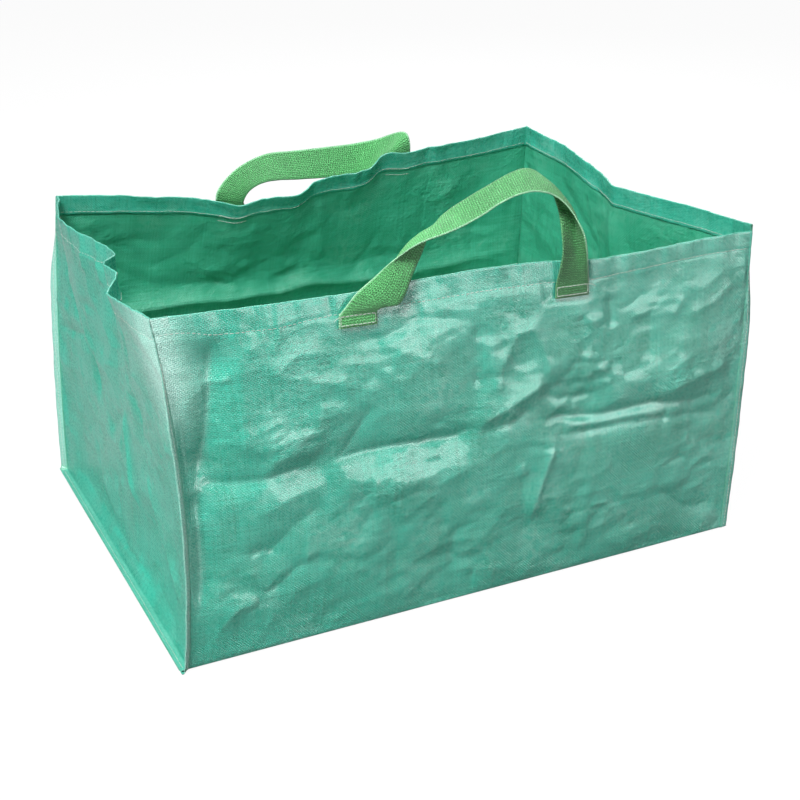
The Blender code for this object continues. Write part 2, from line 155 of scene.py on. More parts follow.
rims = {                 # share of the wall, then millimetres inward and down
    "front": ((0, 0, 3), (0.12, 0, 4.5), (0.22, 0, 5.5), (0.3, 0, 5.5), (0.4, 0, 2), (0.52, 0, -1),
              (0.6, 0, 0.5), (0.7, 0, 6.5), (0.8, 0, 5), (0.9, 0, 1), (1, 0, 0)),
    "rightEnd": ((0, 0, -8), (0.03, -5, -5), (0.1, -12, 2), (0.18, -2, 1), (0.46, 28, 9), (0.56, 17, 6),
                 (0.78, 0, 2), (1, 0, 0)),
    "back": ((0, 0, 0), (0.13, 7, 5), (0.2, 10, 6), (0.26, 13, 6.3), (0.3, 15.8, 7), (0.345, 19, 3),
             (0.36, 20, 5), (0.385, 22.2, 15), (0.42, 25.9, 18.5), (0.48, 32.3, 17.2),
             (0.51, 34.8, 20.5), (0.545, 37.5, 32.2), (0.6, 40, 31.5), (0.64, 40.5, 32),
             (0.67, 38, 35.5), (0.7, 33, 29.5), (0.76, 22, 20.5), (0.84, 11, 13), (0.92, 4.6, 5.5),
             (1, 0, 0)),
    "leftEnd": ((0, 0, 0), (0.12, -10, 0), (0.26, -14, 0), (0.42, 4, 2), (0.53, 14, 4), (0.61, -4, 2),
                (0.68, 2, 3), (0.77, -16, 7), (0.9, -12, 3), (1, 0, 3)),
}


def postLine(name, height):
    # foot + top * v^2 + belly * 4v(1 - v), where v is the share of the height
    post = posts[name]
    v = height / bag["height"]
    bow = 4 * v * (1 - v)
    x = post["side"][0] * bag["width"] / 2 + post["top"][0] * v**2 + post["belly"][0] * bow
    y = post["side"][1] * bag["depth"] / 2 + post["top"][1] * v**2 + post["belly"][1] * bow
    return np.stack([x, y, height + post["top"][2] * v**2], axis=-1)


def wallPoint(wall, u, height):
    # straight between the two posts, moved in by the rim's own line times v^2 and by the slack cloth
    u, height = np.broadcast_arrays(np.asarray(u, float), np.asarray(height, float))
    first, last = (postLine(post, height) for post in walls[wall]["posts"])
    point = first + (last - first) * u[..., None]
    shares, inward, down = np.array(rims[wall], float).T / [[1], [1000], [1000]]
    v = height / bag["height"]
    if wall == "rightEnd":               # creased, so straight lines between its rim's points
        reach = rise(v, bag["rightRimFrom"], 1 - bag["rightRimFrom"])
        rimIn, rimDown = np.interp(u, shares, inward) * reach, np.interp(u, shares, down) * reach
    else:
        rimIn = curveThrough(shares, inward, u) * v**2
        rimDown = curveThrough(shares, down, u) * v**2
    window = insideEnds(u, 1, bag["edgeWindow"])
    bow = 4 * v * (1 - v)
    skirt = window * rise(height, 0, bag["skirtHeight"]) * (1 - v**2)
    move = rimIn + {"front": -bag["frontBelly"] * window * bow,
                    "back": -bag["backBelly"] * window * bow,
                    "leftEnd": bag["leftSkirt"] * skirt,
                    "rightEnd": bag["rightSkirt"] * skirt}[wall]
    if wall in ("front", "back"):
        below = np.clip(bag["foldRadius"] - height, 0, bag["foldRadius"])
        move = move + bag["foldRadius"] - np.sqrt(bag["foldRadius"] ** 2 - below**2)
    point = point + np.array(walls[wall]["inward"], float) * move[..., None]
    point[..., 2] -= rimDown
    return point


# Creases, in millimetres: how wide and how high each is, a valley's height below zero, and its line
# as (along the wall, up)

creases = {
    "front": (
        (16, -6.2, ((163, 199), (182, 204), (226, 204), (299, 199), (325, 206))),
        (14, 2.2, ((150, 186), (184, 174), (230, 161), (277, 152), (301, 160), (323, 166))),
        (18, -6.2, ((6, 200), (52, 194), (93, 196), (142, 200), (169, 200))),
        (4, 1, ((92, 192), (125, 197), (160, 203))),
        (10, -2.2, ((160, 196), (181, 222), (206, 258))),
        (10, 2.4, ((346, 232), (352, 270), (372, 303), (390, 305), (401, 288), (409, 262), (414, 229))),
        (14, 4, ((323, 208), (349, 219), (376, 232), (408, 246))),
        (10, -2.4, ((325, 198), (360, 202), (391, 216))),
        (8, -2.2, ((395, 231), (425, 220), (478, 220))),
        (6, 1.4, ((412, 214), (453, 206))),
        (10, -4.6, ((391, 200), (426, 198), (484, 192), (547, 194), (606, 183), (640, 186))),
        (7, 2, ((430, 188), (480, 183), (530, 184), (580, 178))),
        (9, -2.8, ((418, 177), (459, 175), (508, 177), (578, 170), (655, 160))),
        (16, 3.6, ((545, 203), (572, 208), (602, 216), (655, 222))),
        (8, 3.6, ((421, 172), (410, 147), (400, 116), (393, 79))),
        (8, -1.6, ((378, 140), (384, 90), (394, 52))),
        (4, 1.4, ((377, 152), (383, 138))),
        (7, -1.4, ((545, 80), (575, 72), (605, 46), (629, 39), (655, 47))),
        (1.6, 0.4, ((545, 345), (546, 200), (552, 10))),
        (1.6, 0.4, ((553, 345), (553, 200), (559, 10))),
        (14, -2.2, ((327, 330), (326, 270), (322, 214))),
        (6, -1.8, ((488, 332), (490, 292))),
        (10, -1.4, ((541, 300), (541, 240))),
        (22, -10, ((53, 352), (43, 300), (33, 255), (22, 215), (13, 195))),
        (8, -4.8, ((14, 200), (13, 150), (14, 110), (10, 60))),
        (16, 2.4, ((78, 345), (72, 280), (66, 225))),
        (6, 1.6, ((22, 22), (34, 44), (50, 62), (75, 64))),
        (12, -2.2, ((67, 95), (90, 118), (117, 142), (150, 156))),
        (10, -1.8, ((80, 68), (117, 90), (150, 98))),
        (10, 1.8, ((70, 158), (118, 173), (150, 178))),
        (7, 1.4, ((85, 228), (120, 236), (158, 240))),
        (6, 1.2, ((92, 214), (125, 220), (150, 222))),
        (9, 1.4, ((100, 300), (135, 322), (160, 318))),
        (9, 1.4, ((215, 322), (260, 296), (300, 276))),
        (3.5, -1.8, ((186, 372), (187, 358), (187, 346))),
        (7, 1.2, ((430, 300), (450, 316), (478, 300))),
        (8, 1.2, ((585, 290), (620, 300), (650, 322))),
        (10, -1.6, ((600, 140), (630, 120), (655, 118))),
        (12, -1.6, ((215, 140), (228, 90), (224, 30))),
        (12, 1.6, ((465, 130), (470, 80), (462, 20))),
    ),
    "leftEnd": (
        (16, -5, ((40, 345), (55, 304), (80, 262), (115, 231), (144, 200), (150, 150))),
        (5, -1.8, ((4, 206), (16, 206), (60, 214), (112, 226))),
        (5, 1.6, ((180, 374), (174, 350), (172, 325))),
        (5, 1.8, ((222, 374), (215, 350), (219, 322))),
        (6, 1.6, ((245, 335), (262, 312), (280, 292))),
        (4, 2.6, ((256, 188), (263, 153), (275, 115), (300, 86))),
        (10, -2, ((256, 188), (225, 162), (193, 137))),
        (14, 3.6, ((330, 150), (368, 112), (408, 76), (460, 44))),
        (8, 1.8, ((350, 214), (380, 184), (420, 186))),
        (14, -2.4, ((290, 250), (330, 215), (350, 180))),
        (4, 1.2, ((20, 12), (85, 12), (259, 11), (352, 15), (460, 12))),
        (2.5, 1, ((244, 4), (252, 14))),
        (2.5, 1, ((450, 3), (458, 12))),
        (6, -1, ((120, 100), (140, 60), (150, 20))),
        (8, -1.4, ((200, 90), (215, 50), (240, 18))),
    ),
    "back": (
        (11, -8, ((10, 206), (60, 200), (168, 195), (231, 198), (330, 213), (487, 215), (588, 206),
                  (655, 206))),
        (14, 2.6, ((20, 228), (168, 216), (330, 234), (487, 236), (640, 228))),
        (10, -1.6, ((427, 352), (424, 320), (420, 290))),
        (10, 1.6, ((480, 340), (500, 290), (560, 262))),
        (16, -2.4, ((330, 345), (322, 290), (318, 240))),
        (8, 1.2, ((520, 300), (570, 310), (620, 300))),
        (10, -1.6, ((120, 330), (128, 270), (122, 225))),
        (12, 2.2, ((200, 150), (260, 110), (330, 100))),
        (12, -2.4, ((400, 160), (440, 100), (520, 60))),
        (10, 1.8, ((80, 150), (100, 90), (140, 40))),
        (9, -1.8, ((560, 180), (590, 120), (650, 100))),
    ),
    "rightEnd": (
        (10, -2.6, ((60, 205), (180, 200), (300, 206), (430, 204))),
        (10, 2.2, ((410, 333), (333, 302), (264, 272))),
        (6, -2, ((236, 345), (234, 287), (236, 235))),
        (12, 2.2, ((120, 330), (140, 280), (130, 220))),
        (12, -2.4, ((330, 170), (360, 110), (420, 60))),
        (10, 2.2, ((80, 160), (130, 110), (150, 50))),
        (9, 1.8, ((260, 150), (230, 90), (250, 40))),
    ),
}
wander = {               # the wave of the hem's stitching in millimetres: along the wall, up
    "front": ((0, 4.5), (30, 4), (55, -0.8), (85, -2), (125, -1.8), (155, 1.2), (180, 2.4), (225, 2.2),
              (270, 0), (400, -0.6), (455, 0), (520, 2), (600, 3.4), (668, 2.4)),
}
slack = {                # each wall's short loose creases, noise seed, gain of its creases, broad folds
    "front": {"count": 150, "strength": 1.0, "seed": 11, "gain": 1.3, "broad": 0.0048},
    "leftEnd": {"count": 110, "strength": 0.8, "seed": 23, "gain": 1.7, "broad": 0.0070},
    "back": {"count": 110, "strength": 1.15, "seed": 37, "gain": 1.3, "broad": 0.0048},
    "rightEnd": {"count": 80, "strength": 1.0, "seed": 53, "gain": 1.3, "broad": 0.0048},
}
crestRadius = 0.0011     # rounds a crease where it is sharpest
looseCrease = {          # the turn's mean and spread, then the ranges that a crease is drawn from
    "turn": (0.25, 0.75), "reach": (0.007, 0.028), "bend": (-0.25, 0.25), "width": (0.002, 0.007),
    "height": (0.0002, 0.0009), "ridges": 0.6, "margin": 0.01, "top": 0.345,
}
foldNoise = {"warp": 0.012, "warpSize": 0.070, "looseSize": 0.085, "swell": 0.0022,
             "swellSize": 0.120, "broadSize": 0.074, "broadStretch": 1.35}
finerFolds = (           # height, warp along and up, stretch upward, size of a facet, seed
    (0.0022, -1, 1, 1.6, 0.034, 4),
    (-0.0010, 2, 0, 1.5, 0.015, 5),
    (0.00028, -2, 0, 1.3, 0.0075, 9),
)
tabs = {"front": (0.1984, 0.4367), "back": (0.2095, 0.4525)}     # middles of the handles' ends
tabFlat = {"reach": 0.036, "fade": 0.012, "from": 0.326, "rise": 0.010, "sunk": 0.0003}
pleats = {"front": (0.1745, 0.4605)}     # small sharp folds in the hem, beside the handles' ends
hemWave = {              # flutes as height and length, how far down they reach, and the pleats
    "flutes": (0.0028, 0.021), "smallFlutes": (0.0015, 0.009), "reach": 0.020, "tabReach": 0.022,
    "tabFade": 0.014, "pleat": 0.0036, "pleatWidth": 0.0032, "pleatFrom": 0.350, "pleatRise": 0.008,
}


def creaseRelief(width, height, line, x, z):
    # height * exp(-distance / width) from a line, rounded on its crest and fading at both ends
    run = runAlong(line)
    nearest = np.full(x.shape, np.inf)
    along = np.zeros(x.shape)
    for k, length in enumerate(np.diff(run)):
        way = (line[k + 1] - line[k]) / length
        t = np.clip((x - line[k][0]) * way[0] + (z - line[k][1]) * way[1], 0, length)
        away = np.hypot(x - line[k][0] - way[0] * t, z - line[k][1] - way[1] * t)
        closer = away < nearest
        nearest = np.where(closer, away, nearest)
        along = np.where(closer, run[k] + t, along)
    fade = 0.22 * run[-1]
    ends = rise(along, -0.15 * fade, fade) * rise(run[-1] - along, -0.15 * fade, fade)
    profile = np.exp(-(np.sqrt(nearest**2 + crestRadius**2) - crestRadius) / width)
    return height * profile * ends


def looseCreases(wall):
    # short, slightly bent lines at random places: middle, half length, width, height and line of each
    plan, length, margin = slack[wall], walls[wall]["length"], looseCrease["margin"]
    draw = np.random.default_rng(plan["seed"])
    for _ in range(plan["count"]):
        at = np.array([draw.uniform(margin, length - margin), draw.uniform(margin, looseCrease["top"])])
        turn = draw.normal(*looseCrease["turn"])
        reach = draw.uniform(*looseCrease["reach"])
        bend = draw.uniform(*looseCrease["bend"]) * reach
        way = np.array([math.cos(turn), math.sin(turn)]) * reach
        across = np.array([-math.sin(turn), math.cos(turn)]) * bend
        width = draw.uniform(*looseCrease["width"])
        height = draw.uniform(*looseCrease["height"]) * plan["strength"]
        sign = 1 if draw.random() < looseCrease["ridges"] else -1
        yield at, reach, width, sign * height, np.array([at - way, at + across, at + way])


def relief(wall, x, z):
    # the sum of the listed creases and the loose ones, a broad swell and facets of four sizes, then
    # none of it where the handles' ends are sewn flat, plus the hem's flutes and pleats
    plan = slack[wall]
    total = np.zeros(x.shape)
    for width, height, line in creases[wall]:
        total += creaseRelief(width / 1000, height / 1000, np.array(line) / 1000, x, z)
    for at, reach, width, height, line in looseCreases(wall):
        near = np.hypot(x - at[0], z - at[1]) < reach + 6 * width
        if near.any():
            total[near] += creaseRelief(width, height, line, x[near], z[near])
    total *= plan["gain"]
    seed = plan["seed"]
    warp = hillNoise(x, z, foldNoise["warpSize"], seed + 1) * foldNoise["warp"]
    loose = 0.55 + 1.2 * hillNoise(x, z, foldNoise["looseSize"], seed + 6)
    loose = np.clip(loose, 0.12, 1.4) * plan["strength"]
    total += foldNoise["swell"] * hillNoise(x, z, foldNoise["swellSize"], seed + 2)
    broad = facetNoise(x + warp, z * foldNoise["broadStretch"] - warp, foldNoise["broadSize"], seed + 3)
    total -= plan["broad"] * broad * (0.5 + 0.5 * loose)
    for height, along, up, stretch, size, extra in finerFolds:
        total += height * facetNoise(x + along * warp, z * stretch + up * warp, size, seed + extra) * loose
    flutes = np.zeros(x.shape)
    for word, extra in (("flutes", 7), ("smallFlutes", 8)):
        height, size = hemWave[word]
        flutes += height * lineNoise(x, size, seed + extra)
    for centre in tabs.get(wall, ()):
        away = np.abs(x - centre)
        flat = 1 - rise(away, tabFlat["reach"] - tabFlat["fade"], tabFlat["fade"])
        flat *= rise(z, tabFlat["from"], tabFlat["rise"])
        total = total * (1 - flat) - tabFlat["sunk"] * flat
        flutes *= rise(away, hemWave["tabReach"], hemWave["tabFade"])
    total += flutes * np.exp(-np.clip(rollCentre - z, 0, 1) / hemWave["reach"])
    for centre in pleats.get(wall, ()):
        sharp = np.exp(-(((x - centre) / hemWave["pleatWidth"]) ** 2))
        total -= hemWave["pleat"] * sharp * rise(z, hemWave["pleatFrom"], hemWave["pleatRise"])
    return total


def stitchLine(wall, x):                 # the height of the hem's stitching, which wanders
    at, lift = np.array(wander.get(wall, ((0, 0), (1000, 0)))).T / 1000
    return stitchHeight + curveThrough(at, lift, x) + 0.0006 * lineNoise(x, 0.050, 8 + len(wall))


def wearOf(surface, rowStep, columnStep):
    # how sharply the relief bends, 0 flat to 1 creased: the cloth whitens there
    bend = np.abs(np.gradient(np.gradient(surface, axis=0), axis=0)) / rowStep**2
    bend = bend + np.abs(np.gradient(np.gradient(surface, axis=1), axis=1)) / columnStep**2
    return np.clip((bend - 60) / 420, 0, 1)


# Meshes from grids

def gridFaces(rows, columns, closedColumns=False):
    # the four corners of each cell, with the last column joined to the first where it is closed
    index = np.arange(rows * columns).reshape(rows, columns)
    if closedColumns:
        index = np.concatenate([index, index[:, :1]], axis=1)
    corners = (index[:-1, :-1], index[:-1, 1:], index[1:, 1:], index[1:, :-1])
    return np.stack([corner.ravel() for corner in corners], axis=-1)


def newObject(name, points, faces, uv=None, values=None):
    # a smooth mesh in the scene, with a map in metres and one value of each kind for each point
    mesh = bpy.data.meshes.new(name)
    mesh.from_pydata(points.reshape(-1, 3).tolist(), [], faces)
    mesh.shade_smooth()
    if uv is not None:
        corners = np.empty(len(mesh.loops), np.int32)
        mesh.loops.foreach_get("vertex_index", corners)
        layer = mesh.uv_layers.new(name="UVMap")
        layer.data.foreach_set("uv", uv.reshape(-1, 2)[corners].astype(np.float32).ravel())
    for key, value in (values or {}).items():
        attribute = mesh.attributes.new(key, "FLOAT", "POINT")
        attribute.data.foreach_set("value", np.ascontiguousarray(value, np.float32).ravel())
    obj = bpy.data.objects.new(name, mesh)
    bpy.context.scene.collection.objects.link(obj)
    return obj


def clothObject(name, points, uv, values):
    # a grid of points given the cloth's thickness on its inner side
    obj = newObject(name, points, gridFaces(*points.shape[:2]).tolist(), uv, values)
    solidify = obj.modifiers.new("thickness", "SOLIDIFY")
    solidify.thickness = bag["cloth"]
    solidify.offset = -1
    return obj


# Cloth walls with their hems and their halves of the seam allowances

flangeTurn = {"frontRight": (1.0, 0.0)}      # in line with the front, as in the photo; the others at 45
seam = {"width": 0.009, "topWidth": 0.0012, "rollWidth": 0.0004, "taperFrom": 0.262, "taper": 0.073,
        "gap": 0.0001, "flatTo": 0.008, "ripple": 0.0005, "wave": 0.0006, "threadAt": 0.55,
        "shares": np.array([0.12, 0.3, 0.55, 0.8, 1.0])}
sewn = {                 # how the relief calms toward the posts, the foot and the hem; the stitch line
    "calm": 0.007, "hemCalm": 0.45, "hemFrom": 0.345, "hemRise": 0.014, "dip": 0.00045,
    "dipWidth": 0.0018, "pucker": 0.00060, "puckerReach": 0.006, "puckerLength": 0.007,
}
clothGrid = {            # distance between columns and between rows
    "front": (0.0026, 0.0025), "back": (0.0034, 0.0034),
    "leftEnd": (0.0026, 0.0026), "rightEnd": (0.0034, 0.0034),
}
edgeColumns = np.array([0, 0.0015, 0.0035, 0.006])   # closer together at a post
hemRowCount, rollRowCount = 12, 5
hemLift = {"least": 0.0001, "most": 0.0004, "length": 0.045, "roundTo": 0.016}
wearAndSheenOn = {               # whiteness of the parts, the flanges' a painted highlight along the seam edges, the share that calm takes, and the tabs' plain patch
    "roll": 0.25, "hem": 0.05, "foot": 0.25, "flange": 1.0, "frontRightFlange": 0.2, "calm": 0.75,
    "tabReach": 0.045, "tabFade": 0.010, "tabFrom": 0.318,
}
paintedCornerHighlight = {         # a painted highlight on the front-left corner: its reach on each wall, and where it starts
    "reach": {"front": 0.026, "leftEnd": 0.050}, "strength": 1.5, "from": 0.23, "rise": 0.09,
}


def creasedWall(wall, u, height):
    # the wall's point, moved out along its normal by the relief. Nothing moves at the posts
    small = 1e-4
    u, height = np.broadcast_arrays(np.asarray(u, float), np.asarray(height, float))
    point = wallPoint(wall, u, height)
    along = wallPoint(wall, u + small, height) - wallPoint(wall, u - small, height)
    low = np.maximum(height - small, 0)
    up = unitRows(wallPoint(wall, u, height + small) - wallPoint(wall, u, low))
    normal = unitRows(np.cross(along, up))
    length = walls[wall]["length"]
    x = u * length
    awayFromPosts = insideEnds(x, length, sewn["calm"])
    raised = relief(wall, x, height) * awayFromPosts * rise(height, 0, sewn["calm"])
    raised *= 1 - sewn["hemCalm"] * rise(height, sewn["hemFrom"], sewn["hemRise"])
    off = height - stitchLine(wall, x)
    pucker = np.exp(-np.abs(off) / sewn["puckerReach"]) * lineNoise(x, sewn["puckerLength"], 5)
    raised += sewn["pucker"] * pucker * awayFromPosts
    raised -= sewn["dip"] * np.exp(-((off / sewn["dipWidth"]) ** 2))
    return point + normal * raised[..., None], normal, up, raised


def flangeWidth(height):                 # full below the taper, then narrowing to the top's width
    taper = rise(height, seam["taperFrom"], seam["taper"])
    return seam["width"] + (seam["topWidth"] - seam["width"]) * taper


def flangeWay(post):                     # level: out of the corner at 45 degrees, or as turned above
    x, y = flangeTurn.get(post, [part / math.sqrt(2) for part in posts[post]["side"]])
    return np.array([x, y, 0.0])


def wallHeights(wall, rowStep, isEnd):
    # rows of the outer face: close together at the foot, even up to the hem, then the hem's own
    start = bag["foldRadius"] * (1 - np.cos(np.linspace(0, math.pi / 2, 6)))
    if isEnd:
        start = np.array([0.0026, 0.0045, 0.007])
    hemFrom = bag["height"] - bag["hemDepth"]
    middle = np.arange(start[-1], hemFrom - rowStep / 2, rowStep)[1:]
    hemRows = np.linspace(hemFrom, rollCentre, hemRowCount)
    return np.concatenate([start, middle, hemRows]), hemRows


def rollAndHem(outer, normal, up, x, hemRows):
    # the roll over the rim: centre - normal * r(1 - cos) + up * r sin
    turn = np.linspace(0, math.pi, rollRowCount + 2)[1:-1, None, None]
    r = bag["rollRadius"]
    roll = outer[-1] + up[-1] * r * np.sin(turn) - normal[-1] * r * (1 - np.cos(turn))
    # the hem inside, which stands off a little along its free edge
    back = slice(-1, -hemRowCount - 1, -1)
    free = np.linspace(0, 1, hemRowCount)[:, None] ** 3
    wave = np.clip(lineNoise(x, hemLift["length"], 77) + 0.35, 0, 1)
    lift = free * (hemLift["least"] + hemLift["most"] * wave)[None, :]
    rounding = 1 - rise(bag["height"] - hemRows[::-1], 0, hemLift["roundTo"])
    lift = lift + bag["hemGap"] + (2 * r - bag["hemGap"]) * rounding[:, None]
    return roll, outer[back] - normal[back] * lift[..., None]


def wallWearAndSheen(wall, raised, x, heights, calm):
    # creases whiten the outer face, and a painted highlight lightens the front-left corner. It stays plain
    # under the handles' ends
    length = walls[wall]["length"]
    columnStep, rowStep = clothGrid[wall]
    wear = wearOf(raised, rowStep, columnStep) * (1 - wearAndSheenOn["calm"] * calm)
    # painted highlight on the front-left corner
    if wall in paintedCornerHighlight["reach"]:
        fromCorner = (x if wall == "front" else length - x)[None, :] / paintedCornerHighlight["reach"][wall]
        upward = rise(heights[:, None], paintedCornerHighlight["from"], paintedCornerHighlight["rise"])
        wear += paintedCornerHighlight["strength"] * np.exp(-(fromCorner**2)) * upward
    for centre in tabs.get(wall, ()):
        clear = rise(np.abs(x - centre), wearAndSheenOn["tabReach"] - wearAndSheenOn["tabFade"], wearAndSheenOn["tabFade"])
        wear *= 1 - (1 - clear)[None, :] * (heights[:, None] > wearAndSheenOn["tabFrom"])
    return np.concatenate([wear, np.full((rollRowCount, len(x)), wearAndSheenOn["roll"]),
                           np.full((hemRowCount, len(x)), wearAndSheenOn["hem"])])


def flange(wall, post, root, heights, onRoll):
    # the allowance past a post: along the corner's way, rippled, and held clear of its twin. At the
    # foot, a long wall's turns to lie along the base's own
    widths = np.where(onRoll, seam["rollWidth"], flangeWidth(heights))
    side, turned = posts[post]["side"], flangeWay(post)
    lying = 0.0 if wall in ("leftEnd", "rightEnd") else 1.0
    flat = ((1 - rise(heights, 0, seam["flatTo"])) * lying * ~onRoll)[:, None]
    way = unitRows(turned * (1 - flat) + np.array([side[0], 0, 0]) * flat)
    inward = np.array(walls[wall]["inward"], float)
    sign = np.sign(-inward @ np.array([side[1], -side[0], 0]))
    own = np.array([turned[1], -turned[0], 0]) * sign
    share = widths / seam["width"]
    ripple = seam["ripple"] * lineNoise(heights, 0.012, 91 + len(post), 0.3) * share
    wave = seam["wave"] * lineNoise(heights, 0.030, 97 + len(post), 0.9) * share
    spread = seam["shares"][None, :, None]
    apart = (bag["cloth"] + seam["gap"]) * smoothStep(spread / 0.25) * ~onRoll[:, None, None]
    apart = apart + sign * ripple[:, None, None] * spread
    return root[:, None, :] + way[:, None, :] * (widths + wave)[:, None, None] * spread + own * apart


footLay = {"above": 0.0012, "overTheBase": 0.0014, "narrowing": 0.75, "ruffle": 0.0004,
           "ruffleLength": 0.014}


def footAllowance(line, outward):
    # past an end wall's foot, flat on the ground, on top of the base's own
    reach = seam["shares"][::-1]
    inFlange = np.zeros(len(line))
    inFlange[:len(reach)] = reach
    inFlange[-len(reach):] = reach[::-1]
    ruffle = np.abs(footLay["ruffle"] * lineNoise(line[:, 1], footLay["ruffleLength"], 61))
    width = reach[:, None, None] * seam["width"] * (1 - footLay["narrowing"] * inFlange)[None, :, None]
    lay = line[None, :, :] + outward * width
    step = footLay["overTheBase"] * (1 - rise(reach[:, None], 0, 0.2))
    lay[..., 2] = footLay["above"] + step + ruffle * reach[:, None]
    return lay, -reach * seam["width"]


def buildWall(wall):
    # outer face, roll over the rim and hem inside as one grid, then a flange past each post and,
    # on an end wall, the foot's allowance
    length = walls[wall]["length"]
    columnStep, rowStep = clothGrid[wall]
    isEnd = wall in ("leftEnd", "rightEnd")
    edge = edgeColumns[-1]
    inner = np.linspace(edge, length - edge, round(length / columnStep))
    x = np.concatenate([edgeColumns[:-1], inner, length - edgeColumns[-2::-1]])
    heights, hemRows = wallHeights(wall, rowStep, isEnd)
    outer, normal, up, raised = creasedWall(wall, (x / length)[None, :], heights[:, None])
    roll, hem = rollAndHem(outer, normal, up, x, hemRows)
    points = np.concatenate([outer, roll, hem])
    v = np.concatenate([heights, rollCentre + np.linspace(0, 0.0028, rollRowCount),
                        bag["height"] + 0.002 + np.linspace(0, bag["hemDepth"], hemRowCount)])
    calm = 1.0 if wall == "leftEnd" else 0.0
    wear = wallWearAndSheen(wall, raised, x, heights, calm)
    rowHeights = np.concatenate([heights, np.full(rollRowCount, rollCentre), hemRows[::-1]])
    onRoll = np.arange(len(points)) >= len(heights)
    first, last = (flange(wall, post, points[:, column], rowHeights, onRoll)
                   for post, column in zip(walls[wall]["posts"], (0, -1)))
    points = np.concatenate([first[:, ::-1], points, last], axis=1)
    past = seam["shares"] * seam["width"]
    uRow = np.concatenate([-past[::-1], x, length + past])
    # the flanges' whiteness is a painted highlight along the seam edges
    flangeSheen = (wearAndSheenOn["flange"], wearAndSheenOn["frontRightFlange" if wall == "front" else "flange"])
    wear = np.pad(wear, ((0, 0), (len(past), len(past))), constant_values=((0, 0), flangeSheen))
    if isEnd:
        lay, below = footAllowance(points[0], -np.array(walls[wall]["inward"], float))
        points, v = np.concatenate([lay, points]), np.concatenate([below, v])
        wear = np.concatenate([np.full(lay.shape[:2], wearAndSheenOn["foot"]), wear])
    uv = np.stack(np.meshgrid(uRow, v), axis=-1)
    # wear and sheen: whitening along creases, plus a painted highlight on the front-left corner and on the
    # seam flanges
    return clothObject(f"{wall}Cloth", points, uv, {"wear": wear, "calm": np.full(wear.shape, calm)})


cloths = {f"{wall}Cloth": buildWall(wall) for wall in clothGrid}
print("cloth walls:", [len(obj.data.polygons) for obj in cloths.values()])

baseShape = {"columns": 135, "rows": 99, "allowance": (0.25, 0.6, 1), "edgeFade": 0.03,
             "foldSize": 0.085, "fold": 0.0030, "crease": 0.0016, "creaseAt": 0.004,
             "creaseWidth": 0.008, "bendStep": 0.005, "mostWear": 0.6}


def buildBase():
    # flat on the ground, rising a little in soft folds and in a crease along its middle
    halfDepth = bag["depth"] / 2 - bag["foldRadius"]
    halfWidth = bag["width"] / 2
    past = halfWidth + seam["width"] * np.array(baseShape["allowance"])
    x = np.concatenate([-past[::-1], np.linspace(-halfWidth, halfWidth, baseShape["columns"]), past])
    gx, gy = np.meshgrid(x, np.linspace(-halfDepth, halfDepth, baseShape["rows"]))
    fade = baseShape["edgeFade"]
    inside = rise(halfWidth - np.abs(gx), 0, fade) * rise(halfDepth - np.abs(gy), 0, fade)
    fold = np.clip(-facetNoise(gx, gy, baseShape["foldSize"], 5), 0, 1) * baseShape["fold"]
    fromCrease = np.abs(gy - baseShape["creaseAt"])
    middle = baseShape["crease"] * np.exp(-fromCrease / baseShape["creaseWidth"])
    raised = (fold + middle) * inside
    # seen from below, columns run the other way, so the faces point down
    points = np.stack([gx, gy, raised], axis=-1)[:, ::-1]
    wear = wearOf(raised, baseShape["bendStep"], baseShape["bendStep"])[:, ::-1]
    wear = np.clip(wear, 0, baseShape["mostWear"])
    return clothObject("baseCloth", points, points[..., :2], {"wear": wear})


cloths["baseCloth"] = buildBase()
print("base cloth:", len(cloths["baseCloth"].data.polygons))


# Stitching: short threads laid end to end along a path

stitch = {"radius": 0.00034, "length": 0.0046, "gap": 0.0007, "rings": 6, "sides": 6, "sink": 0.0004,
          "jitter": 0.00018}
seamStitch = {"radius": 0.00033, "length": 0.0036}


def stitchRun(path, normals, seed, length=stitch["length"], radius=stitch["radius"]):
    # each stitch is a six sided tube that arches from the cloth and back: lift = sin(pi t)^0.5
    run = runAlong(path)
    rings, sides, gap, sink = (stitch[word] for word in ("rings", "sides", "gap", "sink"))
    count = max(1, int((run[-1] + gap) / (length + gap)))
    pitch = run[-1] / count
    t = np.linspace(0, 1, rings)
    at = (np.arange(count) * pitch + gap / 2)[:, None] + t[None, :] * (pitch - gap)
    centres, face = (np.stack([np.interp(at, run, rows[:, k]) for k in range(3)], axis=-1)
                     for rows in (path, normals))
    face = unitRows(face)
    across = unitRows(np.cross(unitRows(np.gradient(centres, axis=1)), face))
    lift = np.sin(np.pi * np.clip(t, 0.02, 0.98)) ** 0.5
    ends = np.random.default_rng(seed).uniform(-1, 1, (count, 2)) * stitch["jitter"]
    lean = ends[:, :1] + (ends[:, 1:] - ends[:, :1]) * t[None, :]
    centres = centres + face * ((lift * (radius * 0.55 + sink) - sink)[None, :, None])
    centres = centres + across * lean[..., None]
    fat = radius * (0.62 + 0.38 * lift)
    angle = np.linspace(0, 2 * math.pi, sides, endpoint=False)[None, None, :, None]
    ring = face[:, :, None, :] * np.cos(angle) * 0.8 + across[:, :, None, :] * np.sin(angle)
    points = centres[:, :, None, :] + ring * fat[None, :, None, None]
    size = rings * sides
    rim = np.arange(sides)
    firsts = (np.arange(count) * size)[:, None, None]
    quads = (gridFaces(rings, sides, True)[:, ::-1] + firsts).reshape(-1, 4).tolist()
    lids = (np.array([rim, size - 1 - rim]) + firsts).reshape(-1, sides).tolist()
    along = np.broadcast_to(at[:, :, None], points.shape[:3])
    around = np.broadcast_to(angle[..., 0] / (2 * math.pi) * 0.0024, points.shape[:3])
    return points.reshape(-1, 3), quads + lids, np.stack([along, around], axis=-1).reshape(-1, 2)


